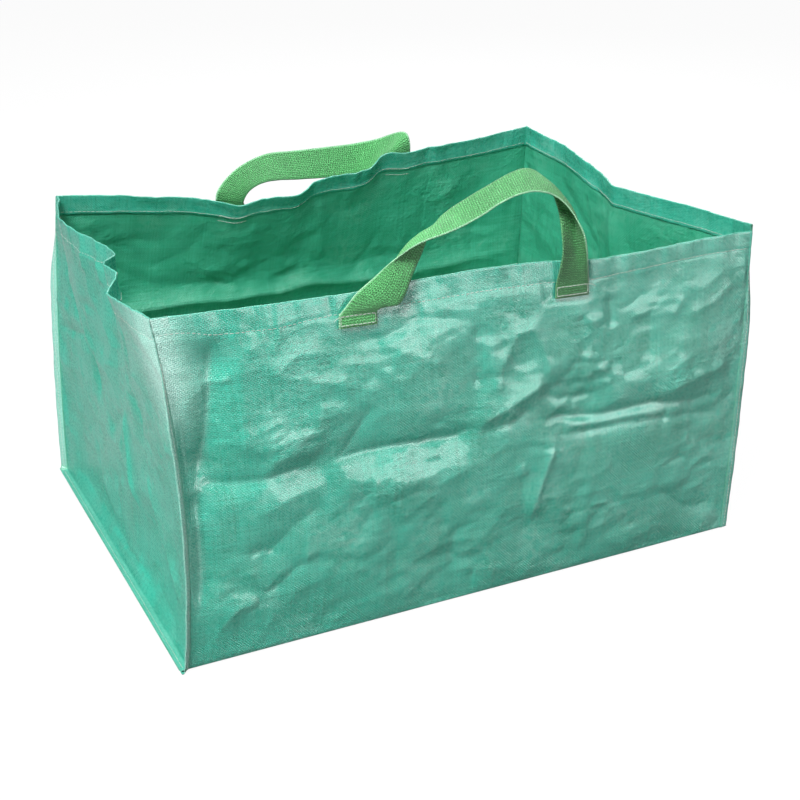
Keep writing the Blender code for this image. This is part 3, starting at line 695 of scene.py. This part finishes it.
def joinRuns(name, runs):                # one mesh of several runs of stitches
    points, faces, uvs, base = [], [], [], 0
    for run, runFaces, uv in runs:
        points.append(run)
        uvs.append(uv)
        faces += [[k + base for k in face] for face in runFaces]
        base += len(run)
    return newObject(name, np.concatenate(points), faces, np.concatenate(uvs))


def hemStitches(name, wall, inside):
    # along the hem's stitch line, outside on the wall or inside on the hem
    length = walls[wall]["length"]
    x = np.linspace(0.004, length - 0.004, 400)
    outer, normal, _, _ = creasedWall(wall, x / length, stitchLine(wall, x))
    if inside:
        outer = outer - normal * (bag["hemGap"] + 0.0001)
        normal = -normal
    return joinRuns(name, [stitchRun(outer, normal, 3 + len(wall) + 7 * inside)])


def seamStitches(name, post):
    # down both faces of the corner's allowance, halfway across it
    heights = np.linspace(0.004, 0.330, 220)
    side = flangeWay(post)
    face = np.array([side[1], -side[0], 0])
    runs = []
    for way in (1, -1):
        middle = postLine(post, heights) + side * (flangeWidth(heights) * seam["threadAt"])[:, None]
        path = middle + face * way * (bag["cloth"] + seam["gap"])
        normals = np.broadcast_to(face * way, path.shape)
        runs.append(stitchRun(path, normals, 20 + way + len(post), **seamStitch))
    return joinRuns(name, runs)


def footStitches(name, side):
    # straight along the top of an end wall's foot allowance
    halfDepth = bag["depth"] / 2 - 0.004
    y = np.linspace(-halfDepth, halfDepth, 200)
    x = side * (bag["width"] / 2 + seam["width"] * seam["threadAt"])
    path = np.stack([np.full_like(y, x), y, np.full_like(y, 0.00125)], axis=-1)
    normals = np.broadcast_to(np.array([0.0, 0.0, 1.0]), path.shape)
    return joinRuns(name, [stitchRun(path, normals, 31 + side, **seamStitch)])


threads = {}
for wall in walls:
    for word, inside in (("Needle", False), ("Bobbin", True)):
        name = f"{wall}Hem{word}Thread"
        threads[name] = hemStitches(name, wall, inside)
for post in posts:
    name = f"{post}SeamThread"
    threads[name] = seamStitches(name, post)
for word, side in (("left", -1), ("right", 1)):
    name = f"{word}FootSeamThread"
    threads[name] = footStitches(name, side)
print("threads:", sum(len(obj.data.polygons) for obj in threads.values()))


# Webbing handles: a sewn end and half a leg at each side, and the loop between

webbing = {              # the pieces part at split, from each end, and a line at the wall runs from below to above
    "width": 0.040, "thickness": 0.0017, "away": 0.0014, "sewn": 0.013, "step": 0.0014, "across": 15,
    "rounds": 6, "easeOut": 0.012, "split": 0.025, "bendBelow": 0.003, "bendAbove": 0.0015,
    "paintedShadeAt": (0, 0.25, 0.45, 0.75, 0.88, 1), "thinEdge": 0.5, "selvedge": 0.12, "selvedgeFrom": 0.86,
    "edgeWave": 0.012, "edgeWaveLength": 0.017,
}
# Sections run from the left foot to the right one: the webbing's left edge, middle and right edge
# as (along, outward, up) in millimetres from the left foot. Fade is painted light and shade along the run:
# the front handle's left leg lit, its right leg shaded, the back handle lifted evenly
handles = {
    "front": {
        "foot": (-0.14011, -0.2429, 0.35273), "span": 240.8, "leg": 0.02418,
        "along": (0.99935, -0.02968, -0.02032), "outward": (-0.02771, -0.99544, 0.09124),
        "upward": (0.02293, 0.09061, 0.99562), "lean": ((0, 0, 1), -0.009, 0.012),
        # fade: painted light on the left leg, painted shade on the right leg
        "fade": (1.5, 1.5, 0, 0, -1, -1),
        "sections": (
            ((-20, 0, 0), (0, 0, 0), (20, 0, 0)),
            ((-14.1, 2, 7.8), (3.1, 3, 4.8), (22.8, 2.5, 3)),
            ((-5.9, 3, 17.9), (9, 4.5, 10), (29.4, 3.5, 4.1)),
            ((5.2, 2, 26.2), (21.2, 6, 17.3), (41, 5, 4.6)),
            ((18, 2, 35.1), (29.4, 7, 27.4), (46.7, 7, 12.3)),
            ((31.1, 4, 45.9), (37.5, 6, 41.1), (51.7, 7, 24.7)),
            ((44.7, 7, 54.8), (48.4, -1, 54.8), (61.1, 1, 37.3)),
            ((57.7, 9, 62.2), (60.5, -6, 63.9), (74, -10, 49.6)),
            ((71.7, 9, 66.6), (74.9, -9, 71.2), (86.6, -20, 65.4)),
            ((85.7, 9, 69.5), (90.2, -9, 75.1), (99.6, -26, 77.6)),
            ((103.1, 9, 74.2), (107.6, -10, 79.5), (112.2, -29, 84.9)),
            ((128.3, 9, 83.5), (132.9, -9.5, 90.6), (137.4, -28, 97.8)),
            ((153.8, 9, 95.9), (157.5, -9.5, 102.1), (161.2, -28, 108.2)),
            ((172.8, 9, 101.6), (176.6, -9.5, 108.8), (180.5, -28, 116.1)),
            ((189.7, 9, 103), (192.9, -9, 111.6), (196, -27, 120.2)),
            ((204.6, 9, 100.1), (206.2, -10, 111.1), (208.8, -27, 117.4)),
            ((214.5, 10, 95.3), (219.6, -9, 105), (220.7, -27, 108.2)),
            ((223.3, 11, 88.1), (231.6, -8, 92.8), (226.9, -23, 94.9)),
            ((229.9, 13, 80.2), (242.6, -6, 77.2), (228.4, -13, 82)),
            ((236.6, 15, 69.7), (245.9, -4, 63.8), (226.3, -3, 69.6)),
            ((244.6, 16, 54.7), (241.5, 0, 48.9), (223.6, 6, 55)),
            ((249.9, 13, 39.1), (242.5, 1, 35.4), (223.4, 9, 40.1)),
            ((255.5, 7, 19.4), (241.8, 2, 18.9), (222.1, 6, 20.9)),
            ((260.8, 0, 0), (240.8, 0, 0), (220.8, 0, 0)))},
    "back": {
        "foot": (-0.10281, 0.21992, 0.32702), "span": 242.85, "leg": 0.02446,
        "along": (0.99134, 0.09787, 0.08761), "outward": (-0.12089, 0.94066, 0.31708),
        "upward": (-0.05138, -0.32492, 0.94434), "lean": ((0, 0.9, 0.43), -0.003, 0.009),
        # fade: painted light, an even lift over the whole handle
        "fade": (0.8, 0.8, 0.8, 0.8, 0.8, 0.8),
        "sections": (
            ((-20, 0, 0), (0, 0, 0), (20, 0, 0)),
            ((-19.7, 3, 27.9), (-0.9, 2, 18.1), (17.9, 1, 8.3)),
            ((-8.5, 12, 33.4), (7.5, 8, 23.7), (23.5, 4, 14)),
            ((7.5, 22, 37), (19.4, 14.5, 27.3), (31.3, 7, 17.5)),
            ((28.4, 33, 38.3), (35.5, 22, 28.5), (42.5, 11, 18.8)),
            ((50.6, 43, 37), (54.4, 29, 27.2), (58.2, 15, 17.4)),
            ((76.4, 51, 33.9), (76.4, 35, 23.3), (76.4, 19, 12.7)),
            ((113.2, 56, 25.5), (110.3, 40, 14), (107.5, 24, 2.5)),
            ((166.8, 57, 17.7), (161.6, 42, 4.2), (156.5, 27, -9.2)),
            ((210.9, 53, 15.3), (202.2, 38.5, 1.1), (193.5, 24, -13.2)),
            ((240.5, 43, 21), (227.1, 30, 6.6), (213.8, 17, -7.8)),
            ((254.7, 32, 31.4), (239.9, 22, 18.2), (225.1, 12, 5)),
            ((263.5, 22, 38.5), (246.7, 15.5, 27.5), (229.8, 9, 16.6)),
            ((266.2, 13, 41.5), (247.6, 9.5, 31.6), (229, 6, 21.7)),
            ((265.6, 6, 36.6), (246.4, 4.5, 28.7), (227.3, 3, 20.8)),
            ((265, 1, 26.6), (244.9, 0.5, 21.8), (224.8, 0, 17)),
            ((262.85, 0, 0), (242.85, 0, 0), (222.85, 0, 0)))},
}


def handleFrame(key):
    # the handle's plan, its two feet and its own three directions
    plan = handles[key]
    along, outward, upward = (np.array(plan[word]) for word in ("along", "outward", "upward"))
    foot = np.array(plan["foot"]) + outward * webbing["away"]
    return plan, np.stack([foot, foot + along * plan["span"] / 1000]), along, outward, upward


def handleGrid(key):
    # a cubic through the sections along the run, then one across, then a little smoothing
    plan, feet, along, outward, upward = handleFrame(key)
    below = np.array([0, 0, 1000 * webbing["sewn"]])
    sections = np.array(plan["sections"], float)
    sections = np.concatenate([sections[:1] - below, sections, sections[-1:] - below])
    run = runAlong(sections.mean(axis=1)) / 1000
    at = np.linspace(0, run[-1], int(run[-1] / webbing["step"]))
    rows = curveThrough(run, sections, at)
    side = np.linspace(-1, 1, webbing["across"])
    rows = curveThrough(np.linspace(-1, 1, 3), np.swapaxes(rows, 0, 1), side)
    grid = np.swapaxes(rows, 0, 1)
    loose = rise(np.minimum(at, at[-1] - at), webbing["sewn"], webbing["easeOut"])[:, None, None]
    for _ in range(webbing["rounds"]):
        grid[1:-1] += ((grid[:-2] + grid[2:]) / 2 - grid[1:-1]) * loose[1:-1]
    # the sewn ends lie straight and flat on the wall
    for end, edges in ((at < webbing["sewn"], sections[0]), (at > at[-1] - webbing["sewn"], sections[-1])):
        flat = edges[0] + (edges[-1] - edges[0]) * (side[:, None] + 1) / 2
        grid[end] = flat[None] * [1, 1, 0] + grid[end] * [0, 0, 1]
    grid = grid / 1000
    return at, feet[0] + grid[..., :1] * along + grid[..., 1:2] * outward + grid[..., 2:] * upward


def strapMesh(name, at, grid, fade, first, last):
    # both faces of the webbing, half its thickness either side of the grid and thinner at its edges
    along = np.gradient(grid, axis=0)
    normal = unitRows(np.cross(along, np.gradient(grid, axis=1)))
    side = np.linspace(-1, 1, grid.shape[1])
    edge = np.abs(side)
    thick = webbing["thickness"] / 2 * (1 - webbing["thinEdge"] * edge**10)
    thick = thick * (1 + webbing["selvedge"] * (edge > webbing["selvedgeFrom"]))
    edgeWave = webbing["edgeWave"] * lineNoise(at, webbing["edgeWaveLength"], 3)[:, None] * edge**3
    grid = grid + np.gradient(grid, side, axis=1) * (side * edgeWave)[..., None]
    top, under = grid + normal * thick[:, None], grid - normal * thick[:, None]
    points = np.concatenate([top, under[:, ::-1]], axis=1)[first:last]
    rings, count = points.shape[:2]
    faces = gridFaces(rings, count, True)
    lids = [list(range(count))[::-1], [(rings - 1) * count + k for k in range(count)]]
    loop = np.concatenate([side, side[::-1]])
    uv = np.stack(np.broadcast_arrays(loop[None] * webbing["width"] / 2, at[first:last, None]), axis=-1)
    values = {"edge": np.broadcast_to(loop[None], (rings, count)),
              "fade": np.broadcast_to(fade[first:last, None], (rings, count))}
    obj = newObject(name, points, faces.tolist() + lids, uv, values)
    corners = points.reshape(-1, 3)[faces]
    volume = np.einsum("ij,ij->i", corners[:, 0], np.cross(corners[:, 1], corners[:, 2])).sum()
    if volume < 0:
        obj.data.flip_normals()
    return obj


straps = {}
for key in handles:
    at, grid = handleGrid(key)
    first = int(np.argmin(np.abs(at - webbing["split"])))
    last = int(np.argmin(np.abs(at[-1] - at - webbing["split"])))
    fade = np.interp(at / at[-1], webbing["paintedShadeAt"], handles[key]["fade"])
    for word, ends in (("Left", (0, first + 1)), ("Loop", (first, last + 1)), ("Right", (last, len(at)))):
        name = f"{key}Handle{word}"
        straps[name] = strapMesh(name, at, grid, fade, *ends)
    print(key, "handle's webbing:", round(float(at[-1]), 3), "m")

boxSewn = {              # the box, its rows' and sides' thickness, and the loose ends beside it
    "top": 0.0012, "bottom": 0.0105, "inset": 0.0018, "radii": (0.00055, 0.00030),
    "insideRadius": 0.00045, "insideRows": ((0.0010, bag["hemGap"] + 0.0001), (0.0096, 0.0006)),
    "tails": (0.007, 0.011), "tailRadius": 0.00026, "tailDrop": 0.004, "tailCurl": 0.0006,
}


def boxStitch(name, key, end):
    # a row along the hem's stitching, one below it, and the two short sides
    _, feet, along, outward, upward = handleFrame(key)
    raised = feet[end] + outward * (webbing["thickness"] / 2)
    length = seamStitch["length"]
    across, runs = webbing["width"] / 2 - boxSewn["inset"], []
    top, bottom = boxSewn["top"], boxSewn["bottom"]
    corners = [raised + along * s * across - upward * d for s, d in
               ((-1, top), (1, top), (1, bottom), (-1, bottom))]
    for k in range(4):
        path = np.linspace(corners[k], corners[(k + 1) % 4], 30)
        radius = boxSewn["radii"][k % 2]
        runs.append(stitchRun(path, np.broadcast_to(outward, path.shape), 50 + k + 5 * end, length, radius))
    # the same rows seen inside: one through the hem, one through the wall's single layer
    centre = tabs[key][end if key == "front" else 1 - end]
    for depth, through in boxSewn["insideRows"]:
        x = centre + np.linspace(-across, across, 40)
        line, normal, _, _ = creasedWall(key, x / walls[key]["length"], stitchHeight - depth)
        line = line - normal * through
        runs.append(stitchRun(line, -normal, 70 + end, length, boxSewn["insideRadius"]))
    # a loose end of thread beside the box
    tail = boxSewn["tails"][end]
    bend = np.linspace(0, 1, 14)[:, None]
    way = along * tail if end else -along * tail
    path = corners[end] + way * bend - upward * (boxSewn["tailDrop"] * bend**2)
    path = path + outward * boxSewn["tailCurl"] * np.sin(bend * 5)
    runs.append(stitchRun(path, np.broadcast_to(outward, path.shape), 4, tail, boxSewn["tailRadius"]))
    return joinRuns(name, runs)


for key in handles:
    for end, word in enumerate(("Left", "Right")):
        name = f"{key}Handle{word}BoxStitch"
        threads[name] = boxStitch(name, key, end)
print("handles done")


# Materials, from nodes

class Wire:              # an output socket. Arithmetic on it adds Math nodes
    def __init__(self, shader, socket):
        self.shader, self.socket = shader, socket

    def __add__(self, other):
        return self.shader.maths("ADD", self, other)

    def __mul__(self, other):
        return self.shader.maths("MULTIPLY", self, other)

    def __sub__(self, other):
        return self.shader.maths("SUBTRACT", self, other)

    def __rsub__(self, other):
        return self.shader.maths("SUBTRACT", other, self)

    def __pow__(self, other):
        return self.shader.maths("POWER", self, other)

    __radd__ = __add__
    __rmul__ = __mul__


class Shader:            # the nodes of a material or of the world
    def __init__(self, owner):
        owner.use_nodes = True
        self.owner, self.tree = owner, owner.node_tree
        self.tree.nodes.clear()

    def node(self, kind, settings=None, inputs=None, output=0):
        made = self.tree.nodes.new("ShaderNode" + kind)
        for key, value in (settings or {}).items():
            setattr(made, key, value)
        for key, value in (inputs or {}).items():
            if isinstance(value, Wire):
                self.tree.links.new(value.socket, made.inputs[key])
            else:
                made.inputs[key].default_value = value
        return Wire(self, made.outputs[output])

    def show(self, surface, kind="Material"):
        end = self.tree.nodes.new("ShaderNodeOutput" + kind)
        self.tree.links.new(surface.socket, end.inputs["Surface"])
        return self.owner

    def maths(self, operation, *values):
        return self.node("Math", {"operation": operation}, dict(enumerate(values)))

    def clamp(self, value):
        return self.node("Clamp", None, {"Value": value})

    def above(self, value, level, slope):            # 0 up to the level, then rising to 1
        return self.clamp((value - level) * slope)

    def sine(self, value, wavelength, phase=None):
        angle = value * (2 * math.pi / wavelength)
        return self.maths("SINE", angle if phase is None else angle + phase)

    def ridge(self, value):              # 1 - |2x - 1|: sharp crests where the noise is a half
        return 1 - self.maths("ABSOLUTE", value * 2 - 1)

    def mix(self, factor, first, second):
        first, second = (value if isinstance(value, Wire) else (*value, 1) for value in (first, second))
        return self.node("Mix", {"data_type": "RGBA"}, {"Factor": factor, 6: first, 7: second}, 2)

    def attribute(self, name):
        return self.node("Attribute", {"attribute_name": name}, None, 2)

    def uv(self):                        # metres across and along the cloth or webbing, whole and split
        uv = self.node("UVMap", {"uv_map": "UVMap"})
        return uv, *(self.node("SeparateXYZ", None, {0: uv}, k) for k in range(2))

    def noise(self, vector, scale, detail=2, stretch=None):
        if stretch:
            vector = self.node("VectorMath", {"operation": "MULTIPLY"}, {0: vector, 1: (*stretch, 1)})
        return self.node("TexNoise", None, {"Vector": vector, "Scale": scale, "Detail": detail})

    def bump(self, height, distance, strength, normal=None):
        inputs = {"Height": height, "Distance": distance, "Strength": strength}
        if normal:
            inputs["Normal"] = normal
        return self.node("Bump", None, inputs)

    def principled(self, **inputs):
        named = {key.replace("_", " "): value for key, value in inputs.items()}
        return self.show(self.node("BsdfPrincipled", None, named))


clothLook = {
    "outside": {"deep": (0.006, 0.245, 0.150), "light": (0.038, 0.525, 0.385),
                "worn": (0.52, 0.84, 0.74), "roughness": 0.29, "tapes": 0.75},
    # the inside's light and worn colours are darker than the outside's: painted shade of the bag's inside
    "inside": {"deep": (0.012, 0.270, 0.142), "light": (0.058, 0.460, 0.290),
               "worn": (0.30, 0.62, 0.48), "roughness": 0.40, "tapes": 0.85},
}
clothScale = {"weave": 0.0032, "twillDown": 0.0034, "twillUp": 0.0048, "weaveHeight": 0.00030,
              "foldHeight": 0.0036}
webbingLook = {"deep": (0.014, 0.150, 0.030), "light": (0.112, 0.545, 0.160), "specks": (0.28, 0.78, 0.36),
               "grooveShade": (0.008, 0.085, 0.018), "selvedge": (0.40, 0.76, 0.48), "pick": 0.0027,
               "wobble": 0.0038, "bead": 0.0024, "height": 0.0009}
threadLook = {"deep": (0.46, 0.58, 0.50), "light": (0.82, 0.88, 0.80), "ply": 0.0008, "height": 0.00025}


def clothMaterial(name, look):
    # flat tapes woven over and under each other under a thin clear film, whitened where creased, with
    # painted sheen: white specks and patches, and highlights on the front-left corner and the seam edges
    shader = Shader(bpy.data.materials.new(name))
    scale = clothScale
    uv, u, v = shader.uv()
    weave = shader.sine(u, scale["weave"]) * shader.sine(v, scale["weave"])
    twill = shader.sine(u - v, scale["twillDown"]) * shader.sine(u + v, scale["twillUp"])
    tapesUp, tapesAcross = shader.noise(uv, 1, 2, (430, 9)), shader.noise(uv, 1, 2, (10, 400))
    patches, fleck, grain = shader.noise(uv, 17, 4), shader.noise(uv, 850), shader.noise(uv, 330, 3)
    tapes = tapesUp * look["tapes"] + tapesAcross * (look["tapes"] - 0.1)
    # weave * 0.10 paints light on the raised crossings of the tapes and shade on the sunk ones
    tone = patches * 0.55 + tapes + fleck * 0.5 + grain * 0.5 + weave * 0.10 - (0.255 + look["tapes"])
    colour = shader.mix(shader.clamp(tone), look["deep"], look["light"])
    wear, calm = shader.attribute("wear"), shader.attribute("calm")
    # scuffed patches and white specks: partly real scuffing, partly painted sheen of the film's highlights;
    # with the wear and sheen attribute they whiten the colour
    scuffAndSheenPatches = shader.above(shader.noise(uv, 13, 4), 0.50, 4)
    crackle = shader.above(shader.ridge(shader.noise(uv, 75, 5)), 0.72, 4)
    dots = shader.above(fleck + twill * 0.10, 0.44, 6)
    scuffsAndSheen = (scuffAndSheenPatches * 0.30 + 0.05) * crackle * (0.40 + dots * 0.60) + scuffAndSheenPatches * dots * 0.05
    scuffsAndSheen = scuffsAndSheen * (1 - calm * 0.6)
    whiteningAndSheen = shader.clamp(wear * (0.32 + dots * 0.40) + scuffsAndSheen + dots * 0.02)
    colour = shader.mix(whiteningAndSheen, colour, look["worn"])
    roughness = look["roughness"] + (patches - 0.5) * 0.25 + (grain - 0.5) * 0.35 + weave * 0.06
    folds = shader.ridge(shader.noise(uv, 46, 3, (1, 1.5))) * 0.6
    folds = folds + shader.ridge(shader.noise(uv, 125, 3)) * 0.4
    folded = shader.clamp((shader.noise(uv, 10, 3) - 0.40) * 4 + 0.15)
    folds = folds * folded * shader.clamp(v * 4.5 + 0.1) * (1 - calm * 0.75)
    rough = weave * 0.5 + twill * 0.5 + tapesUp * 0.7 + tapesAcross * 0.6 + fleck * 1.1
    normal = shader.bump(rough, scale["weaveHeight"], 1.0)
    normal = shader.bump(folds, scale["foldHeight"], 0.70, normal)
    return shader.principled(Base_Color=colour, Roughness=roughness, Normal=normal, IOR=1.5,
                             Coat_Weight=0.38, Coat_Roughness=0.20)


def webbingMaterial(look):
    # a ribbed weave: picks across that break into beads, with painted light on their crests and painted
    # shade in their grooves, fluffy specks, and a pale line along the edges, mostly a painted highlight on
    # the near edge
    shader = Shader(bpy.data.materials.new("webbing"))
    uv, u, v = shader.uv()
    drift = shader.noise(uv, 240)
    picks = shader.sine(v, look["pick"], drift * 5 + shader.sine(u, look["wobble"]) * 1.2)
    beads = shader.sine(u, look["bead"], drift * 4)
    edge, fade = shader.attribute("edge"), shader.attribute("fade")
    fibre = shader.noise(uv, 1, 3, (1100, 420))
    grain = shader.noise(uv, 620)
    patches = shader.noise(uv, 60, 3)
    # fade paints light and shade along the run: the front handle's left leg lit, its right leg shaded
    tone = fibre * 0.8 + grain * 1.5 + patches * 0.6 + picks * 0.20 + beads * 0.10 + fade * 0.32 - 1.02
    colour = shader.mix(shader.clamp(tone), look["deep"], look["light"])
    specks = shader.above(grain, 0.54, 9) * shader.clamp(picks * 0.6 + 0.5)
    colour = shader.mix(specks * 0.45, colour, look["specks"])
    # painted shade in the grooves between picks; picks * 0.20 in the tone above paints light on their
    # crests
    paintedGrooveShade = shader.clamp(0.5 - picks * 0.5) ** 2
    colour = shader.mix(paintedGrooveShade * 0.40, colour, look["grooveShade"])
    # the near edge's pale line is mostly a painted highlight, the far edge's a faint pale selvedge
    selvedge = shader.clamp(-10 * edge - 8.8) * 0.8 + shader.clamp(10 * edge - 9.2) * 0.2
    colour = shader.mix(selvedge, colour, look["selvedge"])
    normal = shader.bump(picks * 0.6 + beads * 0.35 + fibre * 0.6 + grain * 1.2, look["height"], 0.9)
    return shader.principled(Base_Color=colour, Roughness=0.55 + fibre * 0.2, Normal=normal,
                             Sheen_Weight=0.10, Sheen_Roughness=0.5)


def threadMaterial(look):
    # plied thread: fine grooves that wind round it, with painted shade in them
    shader = Shader(bpy.data.materials.new("thread"))
    uv, u, v = shader.uv()
    ply = shader.sine(u + v, look["ply"])
    fluff = shader.noise(uv, 1400)
    colour = shader.mix(shader.clamp(fluff * 0.8 + ply * 0.2), look["deep"], look["light"])
    normal = shader.bump(ply + fluff * 0.6, look["height"], 0.7)
    return shader.principled(Base_Color=colour, Roughness=0.7 + fluff * 0.2, Normal=normal,
                             Sheen_Weight=0.3)


outside = clothMaterial("clothOutside", clothLook["outside"])
inside = clothMaterial("clothInside", clothLook["inside"])
webbingGreen, threadPale = webbingMaterial(webbingLook), threadMaterial(threadLook)
for obj in cloths.values():
    obj.data.materials.append(outside)
    obj.data.materials.append(inside)
    obj.modifiers["thickness"].material_offset = 1
    obj.modifiers["thickness"].material_offset_rim = 0
for obj in straps.values():
    obj.data.materials.append(webbingGreen)
for obj in threads.values():
    obj.data.materials.append(threadPale)
print("materials done")


# What each piece stands for, and the body that the cloth and threads move with


def cadName(name):       # the CAD's word for a wall or a post: rightEnd is right_end
    return "".join("_" + letter.lower() if letter.isupper() else letter for letter in name)


for wall in clothGrid:
    word = cadName(wall)
    seams = ()
    if wall in ("leftEnd", "rightEnd"):
        side = word.split("_")[0]
        seams = (f"{word}_foot_seam", f"front_{side}_seam", f"back_{side}_seam")
    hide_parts(f"{word}_panel", f"{word}_hem", *seams)
    for side in ("needle", "bobbin"):
        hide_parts(f"{word}_hem_{side}_thread")
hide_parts("base_panel")
for post in posts:
    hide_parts(f"{cadName(post)}_seam_thread")
for side in ("left", "right"):
    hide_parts(f"{side}_end_foot_seam_thread")
for key in handles:
    for side in ("left", "right"):
        word, piece = f"{key}_handle_{side}", f"{key}Handle{side.title()}"
        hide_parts(f"{word}_end", f"{word}_leg")
        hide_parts(f"{word}_box_stitch")
    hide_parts(f"{key}_handle_loop")

for obj in [*cloths.values(), *threads.values()]:
    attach(obj, "bag")
for key in handles:
    plan, feet, along, outward, upward = handleFrame(key)
    middle, legs, grip = feet.mean(axis=0), f"{key}_handle_legs", f"{key}_handle_grip"
    low, high = middle - upward * webbing["bendBelow"], middle + upward * webbing["bendAbove"]
    for side in ("Left", "Right"):
        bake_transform(straps[f"{key}Handle{side}"], "bag", legs, start=tuple(low), end=tuple(high))
    way, near, far = plan["lean"]
    way = unitRows(along * way[0] + outward * way[1] + upward * way[2])
    top = middle + upward * plan["leg"]
    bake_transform(straps[f"{key}HandleLoop"], legs, grip, start=tuple(top + way * near),
             end=tuple(top + way * far))


# Floor, world, lights and camera

floor = {"halfSize": 6.0, "below": 0.0002, "grey": (0.35, 0.35, 0.35, 1), "glow": 1.15, "glowShare": 0.82}
sky = {"seen": ((1, 1, 1, 1), 1.0), "given": ((0.93, 0.97, 1.0, 1), 0.22)}   # colour and strength
lights = {               # place, target, size, watts, and whether it shows in reflections alone
    "key": ((-1.2, -0.95, 2.3), (0, 0, 0.2), (1.0, 0.85), 88, False),
    "top": ((0.5, 0.7, 2.4), (0, 0, 0.1), (1.2, 0.9), 40, False),
    "left": ((-2.0, -0.9, 0.7), (-0.3, -0.2, 0.2), (0.6, 0.6), 9, False),
    "behind": ((1.5, 2.2, 1.7), (0, 0, 0.2), (1.2, 1.2), 26, False),
    "leftSheen": ((-2.3, -1.2, 0.5), (-0.3, -0.2, 0.2), (1.2, 0.6), 8, True),
    "frontSheen": ((0.8, -1.75, 0.36), (0, -0.2, 0.2), (1.5, 0.66), 34, True),
}
camera = {"sensor": 36, "lens": 63, "place": (-0.6657, -1.4028, 0.8323),
          "turns": (("Z", -26.25), ("X", 65.81), ("Z", 0.19))}       # heading, tilt and roll in degrees


def addFloor():
    # the camera sees it almost white, with a soft shadow, and it throws back a duller light
    shader = Shader(bpy.data.materials.new("floor"))
    matt = shader.node("BsdfDiffuse", None, {"Color": floor["grey"]})
    white = shader.node("Emission", None, {"Strength": floor["glow"]})
    seen = shader.node("LightPath")
    size = floor["halfSize"]
    points = np.array([[-size, -size, 0], [size, -size, 0], [size, size, 0], [-size, size, 0]], float)
    obj = newObject("floor", points, [[0, 1, 2, 3]])
    obj.location.z = -floor["below"]
    obj.data.materials.append(
        shader.show(shader.node("MixShader", None, {0: seen * floor["glowShare"], 1: matt, 2: white})))


def addWorld():
    # a plain white sky that the camera sees, dimmer for the light it gives
    shader = Shader(bpy.data.worlds.new("world"))
    given, seen = (shader.node("Background", None, dict(enumerate(sky[word])))
                   for word in ("given", "seen"))
    mixed = shader.node("MixShader", None, {0: shader.node("LightPath"), 1: given, 2: seen})
    bpy.context.scene.world = shader.show(mixed, "World")


def addLight(name, place, target, size, power, sheenOnly):
    # a rectangle that faces its target, unseen by the camera itself
    data = bpy.data.lights.new(name, "AREA")
    data.shape, data.size, data.size_y = "RECTANGLE", size[0], size[1]
    data.energy = power
    obj = bpy.data.objects.new(name, data)
    obj.location = place
    obj.rotation_euler = (Vector(target) - Vector(place)).to_track_quat("-Z", "Y").to_euler()
    obj.visible_diffuse = not sheenOnly
    obj.visible_camera = False
    bpy.context.scene.collection.objects.link(obj)


def addCamera():
    # at its place, turned by the heading, then by the tilt, then by the roll
    data = bpy.data.cameras.new("camera")
    data.sensor_width, data.lens = camera["sensor"], camera["lens"]
    obj = bpy.data.objects.new("camera", data)
    matrix = Matrix.Translation(camera["place"])
    for axis, degrees in camera["turns"]:
        matrix = matrix @ Matrix.Rotation(math.radians(degrees), 4, axis)
    obj.matrix_world = matrix
    bpy.context.scene.collection.objects.link(obj)
    bpy.context.scene.camera = obj


addFloor()
addWorld()
addCamera()
for name, light in lights.items():
    addLight(name, *light)
bpy.context.scene.view_settings.view_transform = "Standard"
print("floor, lights and camera done")
